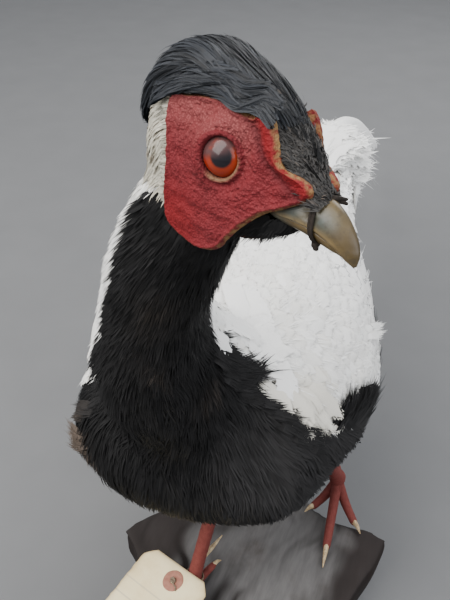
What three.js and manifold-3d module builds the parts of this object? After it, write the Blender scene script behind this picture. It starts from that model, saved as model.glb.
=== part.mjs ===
// A mounted silver pheasant cock on a piece of weathered wood, with a paper label tied to one leg.
// Millimetres, +Z up. The bird faces -Y, its own left is +X, and the wood's flat underside is Z = 0.
import * as THREE from "three";
import { mergeVertices } from "three/addons/utils/BufferGeometryUtils.js";
import Module from "manifold-3d";

const wasm = await Module();
wasm.setup();

// ---------------------------------------------------------------- driving dimensions

const GAP = 0.35; // clearance between pieces that touch
const WOOD_TOP = 62; // height of the surface that the feet stand on
const BODY_X = -30; // the trunk's own median plane
// The trunk's axis swings to the bird's right towards the tail: [how far, where it starts, where it ends].
const SWING = [-15, 60, 240];
const SIDES = { left: 1, right: -1 }; // the sign of X on each side of the bird

// The head's place and turn. Its own axes are x to the bill, y to its left and z to the crown.
const HEAD = { at: [24, -115.8, 427.6], yaw: 64, pitch: 4, roll: 12 };

// A section is a loft's cross-section: its middle, half its width, and its reach to each side of that.
const section = (at, wide, back, belly, dorsal = [0, 0, 1]) => ({ at, wide, back, belly, dorsal });
const fromBody = (x, y, z) => [BODY_X + x, y, z];

const TRUNK = [
  section(fromBody(-4, -92, 214), 5, 6, 6),
  section(fromBody(-5, -87, 213), 38, 34, 26),
  section(fromBody(-6, -66, 209), 73, 60, 50),
  section(fromBody(-2, -20, 204), 85, 77, 76),
  section(fromBody(0, 35, 204), 82, 76, 78),
  section(fromBody(-1, 90, 211), 73, 66, 68),
  section(fromBody(-5, 145, 220), 56, 50, 50),
  section(fromBody(-11, 195, 228), 40, 34, 36),
  section(fromBody(-15, 232, 233), 27, 22, 24),
  section(fromBody(-16, 246, 234), 8, 6, 8),
];
const NECK = [
  section(fromBody(-2, -8, 215), 38, 36, 36, [0, 0.6, 0.8]),
  section(fromBody(-5, -44, 254), 41, 42, 52, [0, 0.8, 0.6]),
  section(fromBody(-10, -66, 296), 31, 35, 42, [-0.2, 0.9, 0.4]),
  section(fromBody(-3, -84, 338), 26, 31, 31, [-0.5, 0.8, 0.25]),
  section(fromBody(16, -99, 374), 23, 30, 24, [-0.75, 0.6, 0.2]),
  section(fromBody(33, -107, 400), 18, 29, 18, [-0.9, 0.45, 0.1]),
  section(fromBody(38, -108, 413), 9, 20, 8, [-0.9, 0.45, 0.1]),
];
// A folded wing, with x measured outwards from the trunk's median plane.
const WING = [
  section([53, -56, 224], 3, 5, 5, [-0.5, 0, 0.85]),
  section([58, -48, 222], 13, 24, 24, [-0.5, 0, 0.85]),
  section([66, -10, 216], 18, 42, 36, [-0.5, 0, 0.85]),
  section([68, 40, 217], 18, 47, 42, [-0.45, 0, 0.9]),
  section([60, 95, 222], 16, 42, 40, [-0.4, 0, 0.9]),
  section([46, 150, 228], 14, 34, 30, [-0.35, 0, 0.95]),
  section([35, 200, 232], 11, 24, 20, [-0.3, 0, 0.95]),
  section([28, 245, 232], 8, 15, 11, [-0.3, 0, 0.95]),
  section([25, 274, 229], 2.5, 4, 4, [-0.3, 0, 0.95]),
];
const TAIL_COVERTS = [
  section(fromBody(-10, 196, 226), 24, 20, 36),
  section(fromBody(-14, 235, 220), 26, 24, 50),
  section(fromBody(-17, 285, 212), 22, 24, 44),
  section(fromBody(-20, 330, 205), 13, 15, 22),
  section(fromBody(-21, 352, 202), 3, 4, 4),
];
// The tail is a steep roof of long feathers: [x, y, ridge height, half its width, depth of its side].
const TAIL = [
  [-14, 224, 256, 22, 58], [-15, 262, 262, 33, 90], [-17, 310, 259, 34, 102], [-20, 371, 247, 29, 90],
  [-24, 450, 216, 22, 64], [-28, 520, 182, 17, 46], [-32, 600, 140, 12, 30], [-35, 680, 94, 7, 16],
  [-36, 716, 72, 2.5, 5],
];
const VANE_THICK = 2.4; // through the overlapping feathers of one side of the tail

// The skull, crest, cheeks and bill are in the head's own axes.
const SKULL = [
  section([-47, 0, -14], 3, 4, 4),
  section([-44, 0, -13], 9, 13, 13),
  section([-28, 0, -7], 12.5, 20, 20),
  section([-8, 0, -3], 12, 21, 22),
  section([8, 0, -2], 10.5, 18, 19),
  section([20, 0, -4], 7.5, 11, 11),
  section([29, 0, -6], 5.5, 6, 6),
  section([31, 0, -6.5], 2, 2.5, 2.5),
];
const CREST = [
  section([32, 0, -3], 2, 2, 2),
  section([26, 0, 2], 6, 3.8, 4),
  section([12, 0, 14], 9, 5.5, 7),
  section([-8, 0, 19.5], 12.5, 7.5, 9),
  section([-24, 0, 20], 13, 9, 10),
  section([-37, 0, 12], 12, 8.5, 9),
  section([-45, 0, -2], 8, 6, 6),
  section([-46, 0, -10], 2.5, 2, 2),
];
const CHEEK = [
  section([-32, 0, -6], 14, 40, 40),
  section([0, 0, -6], 14.6, 40, 40),
  section([12, 0, -6], 12.8, 40, 40),
  section([22, 0, -6], 10, 40, 40),
  section([34, 0, -6], 6.5, 40, 40),
];
const BILL_UPPER = [
  section([24, 0, -2.5], 3, 3, 2.5),
  section([26, 0, -2.6], 6.4, 4.6, 3.8),
  section([33, 0, -5], 5.4, 3.8, 3.2),
  section([39, 0, -7.8], 4, 3, 2.7),
  section([44.5, 0, -11.4], 2.2, 2, 2.2),
  section([46.8, 0, -15], 0.7, 0.8, 0.8, [1, 0, 0.3]),
];
const BILL_LOWER = [
  section([15, 0, -10.5], 3.5, 1.5, 1.5),
  section([18, 0, -10.7], 6.6, 2.4, 2.8),
  section([29, 0, -11], 5, 2.2, 3.1),
  section([38, 0, -12.8], 3.1, 1.6, 2.2),
  section([42.5, 0, -14.6], 1, 0.8, 0.9),
];
// The bare face's edge seen from the side, as x and z in the head's axes.
const FACE_EDGE = [
  [-26.5, 9], [-16, 14.5], [-6, 16.5], [2, 15.5], [7.5, 15.5], [10.6, 18], [15, 13.5], [19.5, 6],
  [25, 4.5], [29.5, 2.5], [29, -1], [23, -6], [17.5, -10], [11.5, -17], [8, -22.5],
  [3.5, -28.5], [-4.5, -31.5], [-14.5, -31], [-22, -26.5], [-26, -9],
];
// The lids are a ring, turned forward from the cheek. The eyeball sits behind it.
const LIDS = { at: [-0.3, 14.2, 0.8], forward: 20, radius: 6.9, thick: 1.2 };
const EYE_RADIUS = 7.6;
// The cheeks are cut between the head's middle and this far out.
const CHEEK_BLOCK = { from: 2, to: 22 };

// Each leg: the ball of its foot and its hock.
const LEGS = {
  left: { ball: [42.4, 52, 85], hock: [28, 10, 172] },
  right: { ball: [-31, -66, 70.5], hock: [-20, -36, 160] },
};
// The thigh leaves the body this far from its middle, behind the hock and this high.
const THIGH = { root: 34, behind: 22, height: 196, radii: [26, 28, 22, 11, 7], over: [-6, -26, -31] };
// The bare leg, from under the ball of the foot to the hock: [place, half its width, front, back].
// A place of one or less is a share of the leg's length, and any other is millimetres above the ball.
const TARSUS = [
  [-5.5, 2, 2, 2], [-3.5, 5, 5, 5], [3, 6.4, 6.6, 6.6], [14, 4.9, 5.4, 5.2],
  [0.6, 4.8, 5.6, 5], [1, 5.4, 6.6, 5.6],
];
// A toe's and a claw's radii from root to tip. The hind toe and its claw are more slender.
const TOE = { radii: [3.7, 3.4, 2.7], hind: 0.82, nail: 3.2, knuckle: 5.2, sink: 3 };
const CLAW = { radii: [2.4, 1.9, 0.6], bend: 1.4 };
// Each toe's tip, and the length of the claw that ends it.
const TOES = {
  left: {
    inner: { tip: [24, 28, 63], claw: 11 },
    middle: { tip: [50, -13, 63], claw: 19 },
    outer: { tip: [69, 25, 63], claw: 12 },
    hind: { tip: [37, 77, 76], claw: 8 },
  },
  right: {
    inner: { tip: [-3, -108, 63], claw: 12 },
    middle: { tip: [-29, -135, 63], claw: 15 },
    outer: { tip: [-66, -106, 63], claw: 12 },
    hind: { tip: [-18, -43, 76], claw: 8 },
  },
};
const SPUR = { length: 26, radii: [4.2, 2.6, 0.7], share: 0.26, towards: [-0.42, 0.9, 0.12], lift: 3 };

// The wood's edge at its widest, as x and y, and rings up its side as [height, share of that edge].
const WOOD_MIDDLE = [-15, -20];
const WOOD_EDGE = [
  [90, 30], [64, 28], [34, 32], [18, 46], [14, 85], [0, 128], [-30, 142], [-58, 122], [-62, 62],
  [-66, 14], [-88, -16], [-103, -38], [-84, -54], [-77, -78], [-82, -112], [-72, -150], [-22, -165],
  [30, -150], [58, -110], [68, -62], [78, -24],
];
const WOOD_RINGS = [[0, 0.82], [12, 0.9], [34, 0.98], [52, 1], [60, 0.985], [WOOD_TOP, 0.93]];
// The label leans on the front of the right foot: [middle of its holed end], turns in degrees.
const TAG = {
  at: [-39.4, -63.5, 86.2], turn: -17, across: 5, dip: 11.5,
  width: 57, length: 104, corner: 7, thick: 0.6, hole: [2, -11],
};
const PATCH = { radius: 7.4, hole: 2, thick: 0.9 };
// The string round the leg: its loop is this high over the ball of the foot.
const TIE = { radius: 0.8, loop: 7, height: 9.5, knot: 2.6, under: -4 };
// The thread wound round the shut bill, in the head's axes.
const THREAD = { at: [32.6, 0, -8.2], half: [6.8, 8.3], radius: 0.9, slant: 10, knot: [30.5, -4.6, -14.6] };

// ---------------------------------------------------------------- helpers

const vector = (p) => new THREE.Vector3(...p);
const spline = (points, closed = false) =>
  new THREE.CatmullRomCurve3(points, closed, "catmullrom", 0.5);

function headFrame() {
  const [yaw, pitch, roll] = [HEAD.yaw, HEAD.pitch, HEAD.roll].map(THREE.MathUtils.degToRad);
  const bill = new THREE.Vector3(
    Math.sin(yaw) * Math.cos(pitch), -Math.cos(yaw) * Math.cos(pitch), -Math.sin(pitch));
  const level = new THREE.Vector3(Math.cos(yaw), Math.sin(yaw), 0);
  const crown = bill.clone().cross(level);
  const left = level.clone().multiplyScalar(Math.cos(roll)).addScaledVector(crown, -Math.sin(roll));
  const up = crown.multiplyScalar(Math.cos(roll)).addScaledVector(level, Math.sin(roll));
  return new THREE.Matrix4().makeBasis(bill, left, up).setPosition(...HEAD.at);
}
const HEAD_FRAME = headFrame();

function indexed(position, index) {
  const geometry = new THREE.BufferGeometry();
  geometry.setAttribute("position", new THREE.Float32BufferAttribute(position, 3));
  geometry.setIndex(index);
  return geometry;
}

// A closed body through elliptical sections, smooth along its length and capped at both ends.
function loft(sections, { steps = 12, sides = 16 } = {}) {
  const path = spline(sections.map((s) => vector(s.at)));
  const reach = spline(sections.map((s) => new THREE.Vector3(s.wide, s.back, s.belly)));
  const lean = spline(sections.map((s) => vector(s.dorsal)));
  const position = [];
  for (let i = 0; i <= steps; i++) {
    const t = i / steps;
    const middle = path.getPoint(t);
    const along = path.getTangent(t);
    const size = reach.getPoint(t);
    const dorsal = lean.getPoint(t);
    dorsal.addScaledVector(along, -dorsal.dot(along)).normalize();
    const across = along.clone().cross(dorsal).normalize();
    for (let k = 0; k < sides; k++) {
      const angle = (2 * Math.PI * k) / sides;
      const high = Math.sin(angle) > 0 ? size.y : size.z;
      const point = middle.clone()
        .addScaledVector(across, Math.cos(angle) * size.x)
        .addScaledVector(dorsal, Math.sin(angle) * high);
      position.push(point.x, point.y, point.z);
    }
  }
  return skinned(position, steps + 1, sides);
}

// Rings of points, one after another, closed round and capped flat at both ends.
function skinned(position, rings, sides, flip = false) {
  const index = [];
  for (let i = 0; i + 1 < rings; i++) {
    for (let k = 0; k < sides; k++) {
      const a = i * sides + k;
      const c = i * sides + ((k + 1) % sides);
      index.push(a, a + sides, c, a + sides, c + sides, c);
    }
  }
  const last = (rings - 1) * sides;
  for (let k = 1; k + 1 < sides; k++) {
    index.push(0, k, k + 1, last, last + k + 1, last + k);
  }
  return indexed(position, flip ? index.reverse() : index);
}

// The same body with its surface moved out, as the room that its neighbours leave for it.
function swollen(geometry, by = GAP) {
  const room = geometry.clone();
  room.computeVertexNormals();
  const { position, normal } = room.attributes;
  for (let i = 0; i < position.count; i++) {
    const point = new THREE.Vector3().fromBufferAttribute(position, i);
    point.addScaledVector(new THREE.Vector3().fromBufferAttribute(normal, i), by);
    position.setXYZ(i, point.x, point.y, point.z);
  }
  return room;
}

// Geometry to a manifold solid and back. Cuts and joins happen on the solids.
function solid(geometry, matrix = new THREE.Matrix4()) {
  const bare = geometry.clone().applyMatrix4(matrix);
  bare.deleteAttribute("normal");
  bare.deleteAttribute("uv");
  const merged = mergeVertices(bare, 1e-4);
  return new wasm.Manifold(new wasm.Mesh({
    numProp: 3,
    vertProperties: new Float32Array(merged.attributes.position.array),
    triVerts: new Uint32Array(merged.index.array),
  }));
}
const cut = (body, ...tools) => tools.reduce((left, tool) => left.subtract(tool), body);

function geometryOf(body) {
  const { vertProperties, triVerts } = body.getMesh();
  return indexed(Array.from(vertProperties), Array.from(triVerts));
}

const pheasant = new THREE.Group();
function add(name, body, colour, roughness = 0.8, metalness = 0) {
  const geometry = body.isBufferGeometry ? body : geometryOf(body);
  const flat = geometry.index ? geometry.toNonIndexed() : geometry;
  flat.computeVertexNormals();
  const mesh = new THREE.Mesh(flat, new THREE.MeshStandardMaterial({ color: colour, roughness, metalness }));
  mesh.name = name;
  pheasant.add(mesh);
  return mesh;
}

// ---------------------------------------------------------------- trunk, neck and head

const form = {
  trunk: loft(TRUNK, { steps: 17, sides: 20 }),
  neck: loft(NECK, { steps: 11, sides: 16 }),
  skull: loft(SKULL, { steps: 8, sides: 12 }).applyMatrix4(HEAD_FRAME),
  crest: loft(CREST, { steps: 9, sides: 10 }).applyMatrix4(HEAD_FRAME),
  billUpper: loft(BILL_UPPER, { steps: 8, sides: 10 }).applyMatrix4(HEAD_FRAME),
  billLower: loft(BILL_LOWER, { steps: 6, sides: 10 }).applyMatrix4(HEAD_FRAME),
};
const room = {};
for (const [name, geometry] of Object.entries(form)) {
  room[name] = solid(swollen(geometry));
  form[name] = solid(geometry);
}

// The lids' own frame, with z out of the head through the middle of the eye.
function lidFrame(side) {
  const turn = new THREE.Matrix4().makeRotationX((-side * Math.PI) / 2);
  const forward = new THREE.Matrix4().makeRotationZ(-side * THREE.MathUtils.degToRad(LIDS.forward));
  const place = new THREE.Matrix4().setPosition(LIDS.at[0], side * LIDS.at[1], LIDS.at[2]);
  return HEAD_FRAME.clone().multiply(place).multiply(forward).multiply(turn);
}
function eyeball(side, by = 0) {
  const behind = Math.sqrt(EYE_RADIUS ** 2 - (LIDS.radius - LIDS.thick) ** 2);
  const ball = new THREE.SphereGeometry(EYE_RADIUS + by, 10, 7).translate(0, 0, -behind);
  return solid(ball, lidFrame(side));
}
const lidRing = (side) =>
  solid(new THREE.TorusGeometry(LIDS.radius, LIDS.thick, 5, 12), lidFrame(side));
function lidOpening(side) {
  const well = new THREE.CylinderGeometry(LIDS.radius, LIDS.radius, 16, 12).rotateX(Math.PI / 2);
  return solid(well, lidFrame(side));
}

// One bare red cheek: the part of a flattened body inside the face's edge.
function cheek(side) {
  const edge = spline(FACE_EDGE.map(([x, z]) => new THREE.Vector3(x, z, 0)), true).getPoints(24);
  const outline = new THREE.Shape(edge.slice(0, -1).map((p) => new THREE.Vector2(p.x, p.y)));
  const block = new THREE.ExtrudeGeometry(outline, {
    depth: CHEEK_BLOCK.to - CHEEK_BLOCK.from, bevelEnabled: false, steps: 1,
  });
  block.rotateX(Math.PI / 2);
  block.translate(0, side > 0 ? CHEEK_BLOCK.to : -CHEEK_BLOCK.from, 0);
  return solid(block, HEAD_FRAME).intersect(solid(loft(CHEEK, { steps: 4, sides: 16 }), HEAD_FRAME));
}

const eyeRooms = Object.values(SIDES).map((side) => eyeball(side, GAP));
const openings = Object.values(SIDES).map(lidOpening);
add("trunk", form.trunk, "#1b1b1f");
add("neck", cut(form.neck, room.trunk, room.skull, room.crest), "#17171a");
add("head", cut(form.skull, room.billUpper, room.billLower, ...eyeRooms, ...openings), "#3a1214");
add("crest", cut(form.crest, room.skull, room.billUpper), "#101218", 0.5);
for (const [name, side] of Object.entries(SIDES)) {
  const tools = [room.skull, room.crest, room.neck, room.billUpper, room.billLower];
  const lidded = cut(cheek(side), ...openings).add(lidRing(side));
  add(`face_${name}`, cut(lidded, ...tools, ...eyeRooms), "#a8202c");
  add(`eye_${name}`, eyeball(side), "#b5441f", 0.1);
}
add("bill_upper", form.billUpper, "#a3925f", 0.45);
add("bill_lower", cut(form.billLower, room.billUpper), "#8d7c4d", 0.45);

function billThread() {
  const [wide, high] = THREAD.half;
  const even = (wide + high) / 2;
  const hoop = new THREE.TorusGeometry(even, THREAD.radius, 4, 14);
  hoop.scale(high / even, wide / even, 1).rotateY(Math.PI / 2 + THREE.MathUtils.degToRad(THREAD.slant));
  hoop.translate(...THREAD.at);
  const knot = new THREE.SphereGeometry(THREAD.radius * 2, 6, 5).translate(...THREAD.knot);
  return solid(hoop, HEAD_FRAME).add(solid(knot, HEAD_FRAME));
}
const faceRooms = [room.billUpper, room.billLower, room.skull, room.crest];
add("bill_thread", cut(billThread(), ...faceRooms), "#1f1a17");

// ---------------------------------------------------------------- wings and tail

const swing = (y) => SWING[0] * THREE.MathUtils.smoothstep(y, SWING[1], SWING[2]);
const wingRooms = {};
for (const [name, side] of Object.entries(SIDES)) {
  const mirrored = WING.map((s) => ({
    ...s,
    at: fromBody(side * s.at[0] + swing(s.at[1]), s.at[1], s.at[2]),
    dorsal: [side * s.dorsal[0], s.dorsal[1], s.dorsal[2]],
  }));
  const wing = loft(mirrored, { steps: 11, sides: 10 });
  wingRooms[name] = solid(swollen(wing));
  add(`wing_${name}`, cut(solid(wing), room.trunk, room.neck), "#e9e8e2");
}

const coverts = loft(TAIL_COVERTS, { steps: 5, sides: 10 });
const covertsRoom = solid(swollen(coverts));
add("tail_coverts", cut(solid(coverts), room.trunk, ...Object.values(wingRooms)), "#1a1a1d");

// Half of the tail's roof: an arc from the ridge out and down, and back again on the inside.
function tailHalf(side) {
  const [arc, steps] = [5, 11];
  const path = spline(TAIL.map(([x, y, z]) => vector(fromBody(x, y, z))));
  const reach = spline(TAIL.map(([, , , wide, deep]) => new THREE.Vector3(wide, deep, 0)));
  const position = [];
  for (let i = 0; i <= steps; i++) {
    const ridge = path.getPoint(i / steps);
    const size = reach.getPoint(i / steps);
    for (let k = 0; k < 2 * arc; k++) {
      const inside = k >= arc;
      const angle = ((inside ? 2 * arc - 1 - k : k) / (arc - 1)) * (Math.PI / 2);
      const wide = size.x - (inside ? VANE_THICK : 0);
      const drop = inside ? VANE_THICK : 0;
      const x = Math.max(wide, 0.1) * Math.sin(angle) + GAP / 2;
      const z = ridge.z - drop - (size.y - drop) * (1 - Math.cos(angle));
      position.push(ridge.x + side * x, ridge.y, z);
    }
  }
  return skinned(position, steps + 1, 2 * arc, side > 0);
}
for (const [name, side] of Object.entries(SIDES)) {
  const half = cut(solid(tailHalf(side)), room.trunk, covertsRoom, ...Object.values(wingRooms));
  add(`tail_${name}`, half, "#eceae4");
}

// ---------------------------------------------------------------- legs and feet

const towards = (from, to, far) => from.clone().addScaledVector(to.clone().sub(from).normalize(), far);
const horizontal = (at, radius) => section(at.toArray(), radius, radius, radius, [0.02, 0.01, 1]);
const tube = (points, radii, shape) => loft(points.map((p, i) => horizontal(p, radii[i])), shape);

for (const [name, leg] of Object.entries(LEGS)) {
  const ball = vector(leg.ball);
  const hock = vector(leg.hock);
  const along = hock.clone().sub(ball).normalize();
  const length = ball.distanceTo(hock);
  const shank = (far) => ball.clone().addScaledVector(along, far);

  // The feathered thigh, out of the body's side down over the hock.
  const inside = new THREE.Vector3(BODY_X + SIDES[name] * THIGH.root, hock.y + THIGH.behind, THIGH.height);
  const below = THIGH.over.map((far) => shank(length + far));
  const bends = [inside, hock.clone().lerp(inside, 0.35), ...below];
  const thigh = tube(bends, THIGH.radii, { steps: 6, sides: 12 });
  add(`thigh_${name}`, cut(solid(thigh), room.trunk, wingRooms[name]), "#161619");

  const tarsus = loft(
    TARSUS.map(([place, wide, front, back]) => {
      const far = place > 0 && place <= 1 ? place * length : place;
      return section(shank(far).toArray(), wide, front, back, [0, 1, 0.05]);
    }),
    { steps: 7, sides: 7 },
  );
  add(`tarsus_${name}`, cut(solid(tarsus), room.trunk, solid(swollen(thigh))), "#a8303a");
  const taken = [solid(swollen(tarsus))];

  const [inward, ...backUp] = SPUR.towards;
  const spurWay = new THREE.Vector3(SIDES[name] * inward, ...backUp).normalize();
  const root = shank(length * SPUR.share);
  const spurTip = root.clone().addScaledVector(spurWay, SPUR.length).add(new THREE.Vector3(0, 0, SPUR.lift));
  const spurBend = root.clone().addScaledVector(spurWay, SPUR.length * 0.55);
  const spur = tube([root, spurBend, spurTip], SPUR.radii, { steps: 3, sides: 6 });
  add(`spur_${name}`, cut(solid(spur), ...taken), "#cdb98a", 0.5);

  for (const [toe, { tip, claw }] of Object.entries(TOES[name])) {
    const isHind = toe === "hind";
    const slim = (radii) => radii.map((radius) => radius * (isHind ? TOE.hind : 1));
    const end = vector(tip);
    const start = ball.clone().add(new THREE.Vector3(0, 0, -1.5));
    const nail = towards(end, start, claw);
    nail.z = isHind ? end.z + 0.6 : WOOD_TOP + TOE.nail;
    const knuckle = start.clone().lerp(nail, 0.5);
    knuckle.z = isHind ? knuckle.z : Math.max(WOOD_TOP + TOE.knuckle, knuckle.z - TOE.sink);
    const digit = tube([start, knuckle, nail], slim(TOE.radii), { steps: 3, sides: 7 });
    add(`toe_${name}_${toe}`, cut(solid(digit), ...taken), "#a8303a");
    taken.push(solid(swollen(digit)));
    const bend = nail.clone().lerp(end, 0.5).add(new THREE.Vector3(0, 0, CLAW.bend));
    const horn = tube([nail, bend, end], slim(CLAW.radii), { steps: 3, sides: 5 });
    add(`claw_${name}_${toe}`, cut(solid(horn), ...taken), "#d9c69a", 0.5);
  }
}

// ---------------------------------------------------------------- wood

function wood() {
  const edge = spline(WOOD_EDGE.map(([x, y]) => new THREE.Vector3(x, y, 0)), true).getPoints(38);
  const position = [];
  for (const [height, share] of WOOD_RINGS) {
    for (const p of edge.slice(0, -1)) {
      position.push(
        WOOD_MIDDLE[0] + (p.x - WOOD_MIDDLE[0]) * share,
        WOOD_MIDDLE[1] + (p.y - WOOD_MIDDLE[1]) * share,
        height,
      );
    }
  }
  return skinned(position, WOOD_RINGS.length, edge.length - 1, true);
}
add("base", solid(wood()), "#6b6359", 0.9);

// ---------------------------------------------------------------- label

// The label's own frame: x across it, y to its holed end and z out of its written face.
const degrees = THREE.MathUtils.degToRad;
const TAG_TURN = new THREE.Euler(degrees(TAG.dip), -degrees(TAG.across), degrees(TAG.turn), "ZYX");
const TAG_FRAME = new THREE.Matrix4().makeRotationFromEuler(TAG_TURN).setPosition(...TAG.at);
function disc(radius, hole, thick) {
  const shape = new THREE.Shape().absarc(0, 0, radius, 0, 2 * Math.PI);
  shape.holes.push(new THREE.Path().absarc(0, 0, hole, 0, 2 * Math.PI, true));
  const ring = new THREE.ExtrudeGeometry(shape, { depth: thick, bevelEnabled: false, curveSegments: 7 });
  return ring.translate(TAG.hole[0], TAG.hole[1], -thick / 2);
}
function tagCard() {
  const { width, length, corner, thick, hole } = TAG;
  const [x, y] = [width / 2, -length];
  const card = new THREE.Shape([
    [-x, y], [x, y], [x, -corner], [x - corner * 0.3, -corner * 0.3], [x - corner, 0],
    [corner - x, 0], [corner * 0.3 - x, -corner * 0.3], [-x, -corner],
  ].map(([a, b]) => new THREE.Vector2(a, b)));
  card.holes.push(new THREE.Path().absarc(hole[0], hole[1], PATCH.radius + GAP, 0, 2 * Math.PI, true));
  const sheet = new THREE.ExtrudeGeometry(card, { depth: thick, bevelEnabled: false, curveSegments: 7 });
  return sheet.translate(0, 0, -thick / 2);
}
for (const [name, geometry, colour] of [
  ["tag", tagCard(), "#e6d9b4"],
  ["tag_patch", disc(PATCH.radius, PATCH.hole, PATCH.thick), "#a9645a"],
]) {
  const piece = add(name, geometry, colour, 0.9);
  piece.position.set(...TAG.at);
  piece.rotation.copy(TAG_TURN);
}

// The string: a knot over the hole, a strand under the label, and a loop round the leg.
function tagTie() {
  const ball = vector(LEGS.right.ball);
  const up = vector(LEGS.right.hock).sub(ball).normalize();
  const middle = ball.clone().addScaledVector(up, TIE.height);
  const face = new THREE.Matrix4().lookAt(up, new THREE.Vector3(), new THREE.Vector3(0, 1, 0));
  const loop = new THREE.TorusGeometry(TIE.loop, TIE.radius, 5, 14)
    .applyMatrix4(face.setPosition(middle));
  const through = (z) => new THREE.Vector3(...TAG.hole, z).applyMatrix4(TAG_FRAME);
  const knotAt = through(TIE.knot + PATCH.thick / 2);
  const knot = new THREE.SphereGeometry(TIE.knot, 7, 5).translate(...knotAt.toArray());
  const under = through(TIE.under);
  const out = under.clone().sub(middle).projectOnPlane(up).setLength(TIE.loop);
  const strand = tube([knotAt, through(0), under, middle.clone().add(out)],
    [TIE.radius, TIE.radius, TIE.radius, TIE.radius], { steps: 5, sides: 5 });
  return solid(loop).add(solid(knot)).add(solid(strand));
}
add("tag_tie", tagTie(), "#7b6f58", 0.9);

export default pheasant;
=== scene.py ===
"""A mounted silver pheasant cock on weathered wood: its skin, feathers, face, feet, label and setting.

Places and sizes are in millimetres in the part's frame: the bird faces -Y, its left is +X and +Z is up.
Meshes are scaled to metres when they become Blender objects.
"""
import math

import bpy
import numpy as np
from mathutils import Matrix, Vector, noise
from mathutils.bvhtree import BVHTree


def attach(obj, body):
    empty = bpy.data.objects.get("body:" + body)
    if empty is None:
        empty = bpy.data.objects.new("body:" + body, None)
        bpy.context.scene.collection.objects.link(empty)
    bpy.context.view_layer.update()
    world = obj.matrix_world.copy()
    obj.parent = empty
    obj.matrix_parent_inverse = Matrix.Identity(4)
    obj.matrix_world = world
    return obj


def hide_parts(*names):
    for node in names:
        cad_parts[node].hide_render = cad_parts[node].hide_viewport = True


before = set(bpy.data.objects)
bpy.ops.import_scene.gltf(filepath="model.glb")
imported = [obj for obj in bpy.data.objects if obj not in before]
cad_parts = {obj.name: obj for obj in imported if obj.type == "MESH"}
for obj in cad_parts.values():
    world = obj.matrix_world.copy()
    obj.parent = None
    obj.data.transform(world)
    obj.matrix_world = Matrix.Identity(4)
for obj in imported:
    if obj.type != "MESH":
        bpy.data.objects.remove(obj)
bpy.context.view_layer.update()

MM = 0.001
SIDES = {"left": 1, "right": -1}
rng = np.random.default_rng(7)

# ---------------- places and sizes, in millimetres

# The camera stands in front of the bird and above it, a little to the bird's left.
CAMERA = {"at": (88.4, -298.6, 518.0), "down": 37.0, "round": 22.0, "lens": 40.8, "sensor": 36.0}

# The head's axes: x to the bill, y to its left, z to the crown.
HEAD = {"at": (24, -115.8, 427.6), "yaw": 64, "pitch": 4, "roll": 12}

# The body's axis from the head to the root of the tail, and the way to the bird's back at each point.
AXIS = [
    ((8, -108, 413), (-0.9, 0.45, 0.1)), ((3, -107, 400), (-0.9, 0.45, 0.1)),
    ((-14, -99, 374), (-0.75, 0.6, 0.2)), ((-33, -84, 338), (-0.5, 0.8, 0.25)),
    ((-40, -66, 296), (-0.2, 0.9, 0.4)), ((-35, -44, 254), (0, 0.8, 0.6)),
    ((-32, -8, 215), (0, 0.3, 0.95)), ((-30, 35, 204), (0, 0, 1)), ((-31, 90, 211), (0, 0, 1)),
    ((-35, 145, 220), (0, 0, 1)), ((-41, 195, 228), (0, 0, 1)), ((-46, 246, 234), (0, 0, 1)),
]
# Feathers of the breast fan out from this point inside the lower neck.
FAN = (-36, -58, 318)

# The bare face's edge seen from the side, and its flattened body's half width, in the head's axes.
FACE_EDGE = [
    (-28, 9), (-20, 13), (-11, 15.5), (-5, 16.3), (2, 15.5), (7.5, 15.5), (10.6, 18), (15, 13.5), (19.5, 6),
    (25, 4.5), (29.5, 2.5), (29, -1), (23, -6), (17.5, -10), (11.5, -17), (8, -22),
    (2.5, -29.5), (-7, -33.2), (-18, -32.3), (-22.5, -26), (-24, -9),
]
CHEEK = {"x": (-32, 0, 12, 22, 34), "wide": (14, 14.6, 12.8, 10, 6.5), "middle": -6, "tall": 40}
# The folded front edge of the face, from beside the crest down to the bill.
LOBE = [(6.5, 17), (11, 14.5), (15, 9.5), (19, 6.5), (24, 3.8), (28.5, 1.5)]
LIDS = {"at": (-0.3, 14.2, 0.8), "forward": 20}
# The lids' rings: radius round the eye, height out of the face, how pale the edge is, and how dark with painted
# shade where the lid tucks in round the eye.
LID_RINGS = [
    (6.4, -3.6, 0, 1), (5.75, -2.2, 0, 1), (5.6, -0.9, 0.1, 0.9), (5.75, 0.1, 0.5, 0.7), (6.1, 0.75, 0.85, 0.4),
    (6.6, 1.05, 0.3, 0.35), (7.15, 0.95, 0, 0.3), (7.6, 0.5, 0, 0.2), (8.0, 0.15, 0, 0.1),
]
LID_END = LID_RINGS[-1][0]
EYE = {"radius": 7.6, "opening": 5.7, "pupil": 3.3, "iris": 6.4, "gaze": (0.17, 0.16)}

# The voxel in millimetres and the rounds of smoothing of each remeshed body.
SKIN_MESH = (2.6, 14)
WOOD_MESH = (1.8, 5)

# Each lamp's place and width in metres, its power in watts and its tint. All of them aim at one point.
LAMPS = {
    "key": ((-0.7, -0.9, 1.7), 1.6, 66, (1.0, 0.98, 0.95)),
    "fill": ((1.3, -0.6, 1.1), 1.4, 16, (0.93, 0.96, 1.0)),
    "back": ((0.3, 1.4, 1.5), 1.2, 24, (1.0, 1.0, 1.0)),
}
LAMPS_AIM = (0, 0, 0.25)
SKY = {"Color": (0.86, 0.89, 0.94, 1), "Strength": 0.7}
FLOOR_REACH = 4000

# ---------------- curves and frames


def unit(v):
    v = np.asarray(v, float)
    return v / np.maximum(np.linalg.norm(v, axis=-1, keepdims=True), 1e-9)


def smooth(low, high, x):
    t = np.clip((np.asarray(x, float) - low) / (high - low), 0, 1)
    return t * t * (3 - 2 * t)


def square(v, axis):
    """The unit vector nearest to each v that is square to its axis, a unit vector."""
    return unit(v - axis * (v * axis).sum(-1, keepdims=True))


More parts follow.
